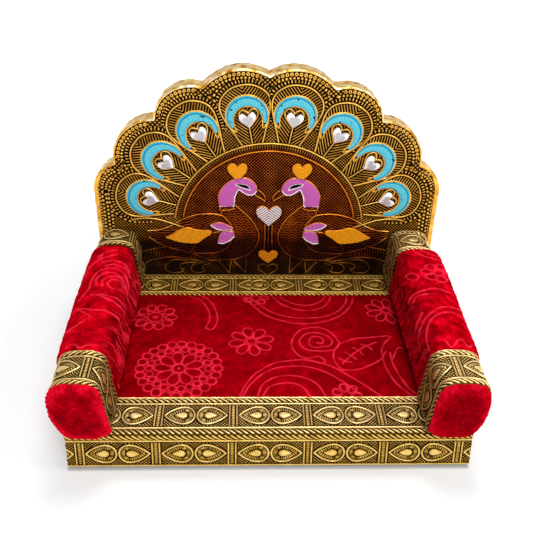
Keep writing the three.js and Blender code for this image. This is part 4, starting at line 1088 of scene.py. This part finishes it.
def feather(relief, turn, size):
    """One feather at its turn: a loop, nested V lines, an enamelled crescent and a stem."""
    part, near = on_feather(relief, turn, size)
    u, w = part.x, part.up
    within = inside(u, w, feather_loop)
    v_lines = stripes((w - np.abs(u)) * 0.7071, 1.55)
    part.lay(within, 0.1 + 0.28 * v_lines, 0.85 * v_lines)
    part.line(feather_loop, 0.62, 0.75)

    # The crescent has a radius of 12 mm round a place 18.7 mm along the feather. It is 6.1 mm wide at
    # the far end and runs out 138 degrees to either side.
    around, deep = np.arctan2(u, w - 18.7), 12.0 - np.hypot(u, w - 18.7)
    aside = np.degrees(np.abs(around))
    band = 6.1 * np.cos(np.clip(aside / 138, 0, 1) * np.pi / 2 * 0.985) ** 0.75
    across = deep / np.maximum(band, 0.4)
    eye = (deep > 0) & (deep < band) & (aside < 138)
    part.lay((deep > band) & (w > 15), 0.1 + 0.2 * v_lines, 0.7 * v_lines)
    rim = (deep < band + 0.8) & (deep > -0.75) & (aside < 140) & ~eye
    part.lay(rim, 0.6, 0.9)
    # The enamel stops short of the crescent's tips.
    part.lay(eye, 0.2 + 0.2 * v_lines, 0.7 * v_lines)
    eye &= aside < 123
    part.enamel(eye, 0x4EBCD2, 0.9)
    part.enamel(eye & (across > 0.13) & (across < 0.3), 0x1E8FB0, 0.7)
    speck = dots(around * 9.0, 12.0 - deep, 2.0) > 0.6
    part.enamel(eye & (across > 0.42) & (across < 0.78) & speck, 0x86CCD2, 1.0)
    part.enamel(eye & (across > 0.3) & (across < 0.38), 0x70CCDA)
    worn = wander(u, w, 5.0, int(turn * 100)) + 0.5 * wander(u, w, 2.0, 7)
    chipped = eye & (worn > 1.25)
    part.paint[chipped] = 0
    part.lay(chipped, 0.5, 0.15)

    part.line(heart(11.0, 10.8) + (-0.9, 16.9), 0.55, 0.8)
    stem = (np.abs(u) < 1.2) & (w < 11.5)
    top = ridge(u, 0.5)
    part.lay(stem, 0.65 * top, top**0.4)
    put_back(relief, part, near)


def arch(relief):
    """Two ridges round the peacocks with radial ticks between them, down to 4 degrees over the centre."""
    radius, turn = np.hypot(relief.x, relief.up), np.arctan2(relief.x, relief.up)
    over = relief.up > 0.07 * radius
    ticks = stripes(turn * disc_radius, 1.5)
    relief.lay(over & (np.abs(radius - disc_radius) < 2.6), 0.05 + 0.25 * ticks, 0.75 * ticks)
    for level in (arch_inner, arch_outer):
        apart = np.abs(radius - level)
        top = ridge(apart, 0.65)
        relief.lay(over & (apart < 1.0), 0.75 * top, top**0.4)


# One peacock, in shares of the arch's inner radius.
bird = {
    "head": [
        (0.567, 0.305), (0.578, 0.427), (0.542, 0.525), (0.476, 0.603), (0.398, 0.647), (0.332, 0.666),
        (0.261, 0.665), (0.192, 0.626), (0.15, 0.563), (0.147, 0.504), (0.179, 0.464), (0.233, 0.455),
        (0.294, 0.485), (0.346, 0.524), (0.375, 0.475), (0.396, 0.406), (0.409, 0.305),
    ],
    "throat": [
        (0.147, 0.504), (0.179, 0.464), (0.233, 0.455), (0.294, 0.485), (0.346, 0.524), (0.375, 0.475),
        (0.396, 0.406), (0.409, 0.305), (0.567, 0.305),
    ],
    "eye": [(0.218, 0.524), (0.264, 0.583), (0.379, 0.593), (0.31, 0.554), (0.218, 0.524)],
    "upper beak": [(0.15, 0.528), (0.085, 0.484), (0.045, 0.42), (0.048, 0.374)],
    "lower beak": [(0.166, 0.454), (0.048, 0.374)],
    "collar": [(0.395, 0.272), (0.475, 0.25), (0.56, 0.255)],
    "chest": [
        (0.405, 0.33), (0.313, 0.244), (0.208, 0.131), (0.147, 0.026), (0.117, -0.058), (0.115, -0.143),
        (0.145, -0.239), (0.194, -0.315), (0.261, -0.37), (0.347, -0.408), (0.433, -0.43), (0.69, -0.43),
        (0.844, -0.374), (0.94, -0.332), (1.073, -0.293), (1.2, -0.25), (1.3, -0.195), (1.4, -0.116),
    ],
    "back": [
        (0.567, 0.29), (0.533, 0.173), (0.457, 0.059), (0.423, -0.004), (0.417, -0.078), (0.44, -0.174),
        (0.5, -0.273), (0.61, -0.328), (0.765, -0.342), (0.912, -0.338),
    ],
    "upper tail": [
        (0.43, 0.05), (0.525, 0.166), (0.638, 0.2), (0.75, 0.199), (0.863, 0.181), (0.977, 0.138),
        (1.094, 0.069), (1.164, 0.025), (1.287, -0.019), (1.417, -0.028),
    ],
    "lower tail": [(0.574, -0.038), (0.681, -0.069), (0.775, -0.149), (0.878, -0.247), (0.919, -0.33)],
    "crossing tail": [
        (1.579, 0.118), (1.465, 0.14), (1.353, 0.137), (1.242, 0.116), (1.131, 0.073), (1.057, 0.047),
        (0.96, 0.012),
    ],
    "fringe top": [(1.498, -0.321), (1.38, -0.285), (1.2, -0.248)],
    "fringe": [
        (1.471, -0.486), (1.391, -0.439), (1.233, -0.402), (1.078, -0.397), (0.923, -0.429), (0.768, -0.452),
        (0.612, -0.437),
    ],
    "outer scroll": [
        (0.97, -0.448), (1.08, -0.429), (1.158, -0.448), (1.224, -0.513), (1.234, -0.569), (1.19, -0.615),
        (1.1, -0.622), (1.02, -0.6), (1.01, -0.55),
    ],
    "inner scroll": [
        (0.75, -0.475), (0.847, -0.484), (0.903, -0.512), (0.929, -0.568), (0.891, -0.615), (0.813, -0.62),
        (0.75, -0.59),
    ],
    "outer curl": [
        (0.855, -0.47), (0.964, -0.475), (1.035, -0.494), (1.06, -0.531), (1.038, -0.568), (1.007, -0.577),
    ],
    "inner curl": [(0.691, -0.484), (0.762, -0.512), (0.787, -0.549), (0.772, -0.577)],
}
leaf = [
    (1.21, -0.119), (1.123, -0.07), (1.06, -0.026), (0.96, 0.013), (0.832, -0.017), (0.684, -0.029),
    (0.677, -0.069), (0.759, -0.131), (0.838, -0.193), (0.953, -0.194), (1.067, -0.176), (1.21, -0.119),
]
upper_petal = [
    (0.675, 0.053), (0.602, 0.084), (0.527, 0.076), (0.429, 0.02), (0.429, -0.012), (0.528, -0.018),
    (0.611, 0.002), (0.675, 0.053),
]
lower_petal = [
    (0.41, -0.036), (0.528, -0.036), (0.575, -0.086), (0.592, -0.193), (0.53, -0.197), (0.453, -0.156),
    (0.407, -0.103), (0.41, -0.036),
]
fringe_edge = [
    (1.498, -0.321), (1.38, -0.285), (1.2, -0.248), (1.073, -0.293), (0.94, -0.332), (0.8, -0.395),
    (0.768, -0.44), (0.923, -0.429), (1.078, -0.397), (1.233, -0.402), (1.391, -0.439), (1.471, -0.486),
]
bird_legs = [
    [(0.265, -0.375), (0.265, -0.626), (0.424, -0.43)], [(0.44, -0.43), (0.465, -0.626), (0.604, -0.44)],
]
enamel_pink, enamel_white, enamel_gold, enamel_black = 0xC462B0, 0xF4F0F4, 0xF6AE22, 0x0A0604


def shares_of_arch(points):
    """The points as an array in mm."""
    return np.array(points) * arch_inner


def peacock(relief):
    """The bird on one side: patterned body and tail, raised outlines, enamelled head, wing and leaf."""
    x, up = relief.x, relief.up
    part = {name: smooth_run(shares_of_arch(points), 6 * len(points)) for name, points in bird.items()}
    # Six places stand for each point drawn, and a stretch of one outline is joined to those that meet it.
    in_body = inside(x, up, np.vstack([part["chest"][:84], part["back"][::-1]]))
    tail_edge = np.vstack([part["upper tail"], part["chest"][::-1][:44], part["back"][::-1][:36]])
    wing_edge = np.vstack([part["upper tail"][:34], shares_of_arch(leaf[4:1:-1]), part["back"][16:5:-1]])
    crossing_edge = np.vstack([part["crossing tail"], part["upper tail"][::-1][:30]])
    from_top, _ = nearest(x, up, part["upper tail"], 40.0)
    in_scroll = inside(x, up, part["outer scroll"]) | inside(x, up, part["inner scroll"])
    # For each area: its raised lines, their ground's height and rise, and the shades' start and rise.
    for where, lines, low, rise, dark, light in (
        (in_body, scales(x, up, 3.8, 1.6), 0.1, 0.3, 0.05, 0.68),
        (inside(x, up, tail_edge) & ~in_body, stripes(from_top + 0.35 * (x - 45), 1.7, 0.55),
         0.08, 0.25, 0.12, 0.6),
        (inside(x, up, wing_edge) & ~in_body, stripes(x * 0.42 + up * 0.91, 1.6, 0.55),
         0.08, 0.22, 0.12, 0.55),
        (inside(x, up, crossing_edge), stripes(x * 0.5 - up * 0.87, 1.5), 0.08, 0.22, 0.1, 0.7),
        (inside(x, up, shares_of_arch(fringe_edge)), stripes(x + 0.25 * up, 1.75, 0.55),
         0.08, 0.25, 0.05, 0.85),
        (in_scroll, stripes(x + up, 1.7), 0.08, 0.18, 0.1, 0.55),
    ):
        relief.lay(where, low + rise * lines, dark + light * lines)
    lattice = np.maximum(stripes(x + up, 1.9), stripes(x - up, 1.9))
    for leg in bird_legs:
        path = shares_of_arch(leg)
        relief.lay(inside(x, up, path), 0.08 + 0.15 * lattice, 0.6 * lattice)
        relief.line(path)
    for name in bird:
        if name not in ("head", "throat", "eye"):
            relief.line(part[name], 0.55)

    head = smooth_run(shares_of_arch(bird["head"]), 90)
    head_apart, _ = nearest(x, up, head, 2.5)
    in_head = inside(x, up, head)
    dome = 0.75 + 0.35 * np.sqrt(np.clip(head_apart / 2.5, 0, 1))
    relief.line(head, 0.7)
    relief.enamel(in_head, enamel_pink, dome)
    throat_apart, _ = nearest(x, up, part["throat"], 1.0)
    relief.enamel((throat_apart < 0.36) & (in_head | (head_apart < 0.6)), enamel_white, 1.2)
    eye_apart, _ = nearest(x, up, part["eye"], 1.5)
    in_eye = inside(x, up, part["eye"])
    relief.enamel((eye_apart < 0.42) & ~in_eye, enamel_white, 1.1)
    relief.enamel(in_eye, enamel_black, 0.7)
    # Each petal has a white rim along one side of it.
    for petal, rim in ((upper_petal, slice(4, 8)), (lower_petal, slice(3, 7))):
        outline = smooth_run(shares_of_arch(petal), 50)
        in_petal = inside(x, up, outline)
        relief.line(outline, 0.6)
        speckle = 0.1 * wander(x, up, 1.6, 5)
        relief.enamel(in_petal, enamel_pink, 0.95 + speckle)
        relief.enamel(in_petal & (speckle > 0.09), 0xE0A0D4)
        rim_apart, _ = nearest(x, up, shares_of_arch(petal)[rim], 1.0)
        relief.enamel(rim_apart < 0.42, enamel_white, 1.05)
    veins = stripes(x * 0.75 + np.abs(up + 5.5 + 0.05 * (x - 50)) * 0.8, 1.5)
    outline = smooth_run(shares_of_arch(leaf), 80)
    relief.enamelled(outline, 0.6, veins, (0.75, 0.25), enamel_gold, 0xD8890F, 0.2)
    crest = heart(11.4, 11.8) + shares_of_arch((0.362, 0.735))
    chevrons = stripes(up - np.abs(x - 0.365 * arch_inner) * 0.8, 1.5)
    relief.enamelled(crest, 0.6, chevrons, (0.75, 0.3), enamel_gold, 0xD8890F, 0.15, ~in_head)


def middle_hearts(relief):
    """Between the birds: a white heart on two stems over a gold one and an outlined one."""
    x, up = relief.x, relief.up
    stem = (x < 2.6) & (up < 2.5) & (up > -15.5)
    relief.lay(stem, 0.1, 0.12)
    relief.line(np.array([(0.0, 2.5), (0.0, -15.5)]), 0.3, 0.4)
    relief.line(np.array([(2.3, 2.5), (2.15, -6.0), (2.6, -15.5)]), 0.55)
    last = heart(12.6, 9.0) + (0, -31.0)
    lattice = np.maximum(stripes(x + up, 1.7, 0.4), stripes(x - up, 1.7, 0.4))
    relief.lay(inside(x, up, last), 0.08 + 0.15 * lattice, 0.15 + 0.6 * lattice)
    relief.line(last, 0.55)
    slants = stripes((x + up) * 0.7071, 1.4, 0.55)
    relief.enamelled(heart(12.4, 10.2) + (0, -20.8), 0.5, slants, (0.75, 0.25), 0xD98A14, 0xB26A0C, 0.2)
    chevrons = stripes(up + np.abs(x) * 0.75, 1.75, 0.6)
    relief.enamelled(heart(15.6, 14.6) + (0, 9.2), 0.5, chevrons, (0.7, 0.4), enamel_white, 0x8C6A66, 0.25)


def place_across(x):
    """The fan's outline as it was cut: 1.15 % wider than drawn and 1.2 mm off the middle."""
    return x * 1.0115 + 1.2


def panel(x, up, feathers):
    """The whole relief at places on the panel; the halves are alike but for the feathers."""
    board_x, x = x, (place_across(x) - pattern_shift) / pattern_stretch
    relief = Relief(np.abs(x), up)
    radius = np.hypot(x, up)
    side = relief.x
    field = dots(side, up, 2.0)
    relief.lay(np.ones(x.shape, bool), 0.05 + 0.25 * field, 0.85 * field)
    # The copper lies under the arch and low in the middle, and is thin again by the foot.
    inner = np.clip((57.5 - radius) / 3, 0, 1)
    low = np.clip((82 - side) / 14, 0, 1) * np.clip((4 - up) / 6, 0, 1)
    relief.copper = np.maximum(inner, low) * (1 - 0.6 * np.clip((-20 - up) / 6, 0, 1))
    # Outside the feathers the ground is dark, with three staggered rows of beads along the edge.
    edge_apart, edge_gone = nearest(np.abs(board_x), up, fan_edge, 12.0)
    beyond = (radius > 62) & ((up > 6) | (side > 82))
    relief.lay(beyond & (edge_apart < 10.2), 0.05, 0.05)
    for row, inset in enumerate((4.3, 6.6, 8.9)):
        bead = beads(edge_gone, edge_apart - inset, 2.6, 0.92, shift=0.5 * row)
        relief.lay(beyond & (np.abs(edge_apart - inset) < 1.15), 0.05 + 0.45 * bead, 0.95 * bead)
    for turn, size in feathers:
        feather_border(relief, turn, size, edge_apart)
    for turn, size in feathers:
        feather(relief, turn, size)
    # Along the edge itself runs a row of rings, or of small beads beside the edge foil's lip.
    rings = (edge_apart < 3.2) & beyond & (up > lip_top)
    place = ((edge_gone / 2.85) % 1 - 0.5) * 2.85
    ring = np.clip(1.3 - ((np.hypot(place, edge_apart - 2.0) / 1.15 - 0.66) / 0.4) ** 2, 0, 1)
    relief.lay(rings, 0.05 + 0.45 * ring, 0.95 * ring)
    by_lip = (edge_apart > 2.0) & (edge_apart < 3.5) & beyond & (up <= lip_top)
    bead = beads(edge_gone, edge_apart - 2.75, 2.0, 0.72)
    relief.lay(by_lip, 0.05 + 0.4 * bead, 0.9 * bead)
    # Where two lobes meet the rows break up into loose beads.
    for corner_x, corner_up in fan_edge[fan_corners]:
        loose = np.hypot(np.abs(board_x) - corner_x, up - corner_up) < 4.6
        bead = dots(board_x, up - corner_up, 2.7)
        relief.lay(loose & (edge_apart < 5.5), 0.05 + 0.4 * bead, 0.9 * bead)
    relief.lay(edge_apart < 0.75, 0.0, 0.0)
    arch(relief)
    if (radius < 92).any():
        peacock(relief)
        middle_hearts(relief)
    uneven = 0.08 * wander(x, up, 17.0, 61) + 0.04 * wander(x, up, 5.0, 62)
    # The shade varies at random, and below the fan's centre it is painted darker, painted shade.
    tarnish_and_shade = 1 + 0.12 * wander(x, up, 11.0, 63) - 0.5 * np.clip(-up / 12, 0, 1)
    relief.height += uneven
    relief.shade = np.clip(relief.shade * tarnish_and_shade, 0, 1)
    return relief


def foil_piece(name, x, up, feathers=(), nodes=()):
    """A closed sheet of the panel over a grid of places, each row ending in two foot points."""
    relief = panel(x, up, feathers)
    top = np.stack([place_across(x), panel_front - relief.height, fan_centre + up], -1)
    foot = top.copy()
    foot[..., 1] = panel_back
    rings, *fields = with_foot(
        top, foot[:, 0], foot[:, -1], relief.shade, relief.copper, *np.moveaxis(relief.paint, -1, 0)
    )
    shade, copper, *paint = fields
    piece = body(name, rings, panel_foil, shade=shade, copper=copper, paint=np.stack(paint, -1))
    ride_seat(piece, "embossed_foil", *nodes)


panel_foil = foil_material(
    "antique_gold_and_copper_panel_foil", 0x050200, 0x54380A, 0xB8801E, 0xF4C25A
)
panel_shader = panel_foil.node_tree.nodes["Principled BSDF"]
gold_tone = panel_shader.inputs["Base Color"].links[0].from_socket
level = gold_tone.node.inputs["Fac"].links[0].from_socket
copper_tone = foil_tones(panel_foil, level, 0x080200, 0x4C1804, 0xA24A0C, 0xE68C26)
metal_tone = mixed(panel_foil, carried(panel_foil, "copper"), gold_tone, copper_tone)
enamel_cover, enamel_colour = carried(panel_foil, "paint", "Alpha"), carried(panel_foil, "paint", "Color")
bare_metal = panel_shader.inputs["Metallic"].links[0].from_socket
bare_share = result(panel_foil, "SUBTRACT", 1.0, enamel_cover)
wire(
    panel_foil, panel_shader, Base_Color=mixed(panel_foil, enamel_cover, metal_tone, enamel_colour),
    Metallic=result(panel_foil, "MULTIPLY", bare_metal, bare_share),
)

disc_up = np.linspace(0, 55.9, 188)[:, None]
disc_x = np.sqrt(disc_radius**2 - disc_up**2) * np.linspace(-1, 1, 381)[None, :]
foil_piece("foil_peacocks", disc_x, disc_up + 0 * disc_x, nodes=["back_foil_face"])
low_up = np.linspace(-35.8, 0, 120)[:, None]
low_x = np.linspace(-fan_half, fan_half, 700)[None, :]
foil_piece("foil_lower_field", low_x + 0 * low_up, low_up + 0 * low_x)
for side, word in ((-1, "left"), (1, "right")):
    turn = side * np.linspace(0, np.pi / 2, 520)[:, None]
    reach = disc_radius + (fan_reach(turn) - disc_radius) * np.linspace(0, 1, 160)[None, :]
    foil_piece(f"foil_feathers_{word}", reach * np.sin(turn), reach * np.cos(turn), feathers_on[side])


# Heart stones: moulded clear acrylic with a silvered back, glued into the feathers' eyes.
# Each flat facet is painted one even grey or white: painted reflections.
silvered, shader = new_material("silver_backed_acrylic")
stone_tone = tones(silvered, noise(silvered, None, 300.0, 1.0), (0.35, 0xF0EEF0), (0.65, 0xFCFCFC))
wire(
    silvered, shader, Metallic=0.1, Roughness=0.16, Coat_Weight=1.0, Coat_Roughness=0.03,
    Base_Color=mixed(silvered, 1.0, stone_tone, carried(silvered, "facet", "Color"), "MULTIPLY"),
)

# Each stone's section, as shares of its outline and heights over the foil.
stone_steps = [(0.97, 0.0), (1.0, 0.5), (1.0, 1.0), (0.66, 2.0), (0.58, 2.05), (0.3, 2.07)]
stone_outline = heart(9.8, 9.4)[:-1]
every_feather = [(side, turn, size) for side in (-1, 1) for turn, size in feathers_on[side]]
for count, (side, turn, size) in enumerate(every_feather, 1):
    middle = arch_outer + (15.6 if turn < 0.2 else 15.9) * size
    rings = []
    for share, out in stone_steps:
        aside, along = stone_outline[:, 0] * share, stone_outline[:, 1] * share + middle
        across = side * (aside * np.cos(turn) + along * np.sin(turn)) * pattern_stretch + pattern_shift
        up = along * np.cos(turn) - aside * np.sin(turn)
        rings.append(np.column_stack([across, np.full(len(up), panel_front - out), fan_centre + up]))
    # The table is painted greyer than the bevels, and the bevels at the notch pinkish brown: painted
    # reflections.
    facet_reflection_tint = np.ones((len(rings), len(stone_outline), 4))
    facet_reflection_tint[4:, :, :3] = 0.5
    notch = (np.abs(stone_outline[:, 0]) < 2.6) & (stone_outline[:, 1] > 1.5)
    facet_reflection_tint[:3, notch, :3] = (0.45, 0.26, 0.22)
    stone = body(f"stone_{count}", np.array(rings), silvered, smooth=20, facet=facet_reflection_tint)
    ride_seat(stone, "clear_stone", f"heart_stone_{count}")


# Edge trim: a band of thin bright gold foil wrapped round the board's edge and pressed down at the
# scallops, so that it is creased all over. Black shows in small nicks along its rear edge.
bright_foil, shader = new_material("creased_bright_gold_foil")
creasing = noise(bright_foil, places(bright_foil), 210.0, 3.0, 0.55)
crease_level = result(bright_foil, "MULTIPLY_ADD", creasing, 0.35, carried(bright_foil, "shade"))
crease_depth = result(bright_foil, "MULTIPLY_ADD", carried(bright_foil, "pressed"), -0.75, 0.9)
# Where the creases and the shade's streaks run high the gold goes to cream: painted highlights.
crease_tone = tones(
    bright_foil, crease_level,
    (0.14, 0x140A00), (0.28, 0xC47A10), (0.5, 0xF6BC48), (0.7, 0xFFE094), (1.0, 0xFFF8DC),
)
wire(
    bright_foil, shader, Base_Color=crease_tone, Metallic=0.75, Roughness=0.28,
    Normal=bumps(bright_foil, creasing, crease_depth, 0.0012),
)


def trim_points(grow):
    """The board's edge grown by an amount, from the right foot over the scallops to the left foot."""
    side_up = np.linspace(-56.4, 26.5, 150)
    side_points = np.column_stack([np.full(len(side_up), fan_half + grow), side_up])
    turn = np.linspace(np.arctan2(fan_half, 27.0), 0, 420)
    reach = fan_reach(turn, grow)
    right = np.vstack([side_points, np.column_stack([reach * np.sin(turn), reach * np.cos(turn)])])
    return np.vstack([right, right[-2::-1] * (-1, 1)])


# The band's section: how far out from the board's edge, and where along Y. From inside the front it
# runs out over the lip, back along the edge, and in over the rear.
trim_section = np.array([
    (-0.3, 68.9), (-0.3, 67.95), (0.3, 67.8), (0.75, 68.2),
    *[(0.9 - 0.4 * (y - 68.7) / 12.3, y) for y in np.linspace(68.7, 81.0, 27)],
    (0.4, 81.45), (0.2, 81.65), (-1.5, 81.65), (-3.3, 81.62), (-5.0, 81.6), (-5.0, 81.2), (0.1, 81.2),
    (0.1, 68.9),
])
trim_rings = []
board_edge = trim_points(0.0)
edge_up = board_edge[:, 1]
# The front lip is a hair wide over the upper scallops and 2 mm wide from the lowest valley down, and
# its lower half is pressed flat on the board, where it shows an even gold.
side_lip = (1.7 * np.clip((lip_top + 5 - edge_up) / 8, 0, 1))[:, None]
for k, (grow, y) in enumerate(trim_section):
    edge = trim_points(grow) - (side_lip * np.sign(board_edge) * (1, 0) if k < 2 else 0)
    trim_rings.append(
        np.column_stack([place_across(edge[:, 0]), np.full(len(edge), y), edge[:, 1] + fan_centre])
    )
trim_rings = np.stack(trim_rings, 1)
# How far each section lies along the band, on its outer face.
run = np.append(0, np.cumsum(np.linalg.norm(np.diff(trim_rings[:, 10], axis=0), axis=1)))[:, None]
depth = trim_section[None, :, 1]
creases = 0.16 * wander(run, depth * 0.45, 6.0, 71) + 0.1 * wander(run * 0.6, depth, 3.0, 72)
folds = np.abs(wander(run, depth * 0.3, 9.0, 73))
# Only the outer face is creased.
face = (trim_section[:, 0] > 0.35)[None, :]
outward_dir = trim_points(1.0) - board_edge
outward_dir /= np.linalg.norm(outward_dir, axis=1, keepdims=True)
lift = np.where(face, creases - 0.2 * (folds < 0.12), 0)
trim_rings[..., 0] += lift * outward_dir[:, None, 0]
trim_rings[..., 2] += lift * outward_dir[:, None, 1]
nick = (depth > 79.6) & (wander(run, 0 * depth, 8.0, 74) > 0.9)
streak = wander(run * 0.35, depth, 3.5, 75) + 0.5 * wander(run, depth * 0.6, 5.0, 76)
flat_lip = np.clip((75 - edge_up) / 20, 0, 1)[:, None] * (np.arange(len(trim_section)) < 4)
trim_shade = (0.42 + 0.26 * streak - 0.8 * nick) * (1 - flat_lip) + (0.26 + 0.06 * streak) * flat_lip
trim = body("edge_trim", trim_rings, bright_foil, shade=np.clip(trim_shade, 0, 1), pressed=flat_lip)
ride_seat(trim, "bright_foil", "back_edge_trim")


# Rear sheet: dark brown paper-faced board glued over the back of the board, inside the trim.
# It stays the CAD piece.
rear_paper, shader = new_material("dark_brown_craft_paper")
paper_noise = noise(rear_paper, None, 320.0, 4.0)
wire(
    rear_paper, shader, Base_Color=tones(rear_paper, paper_noise, (0.35, 0x24160F), (0.65, 0x35231A)),
    Roughness=0.85, Normal=bumps(rear_paper, paper_noise, 0.3, 0.0003),
)
cover(rear_paper, "back_rear_sheet")
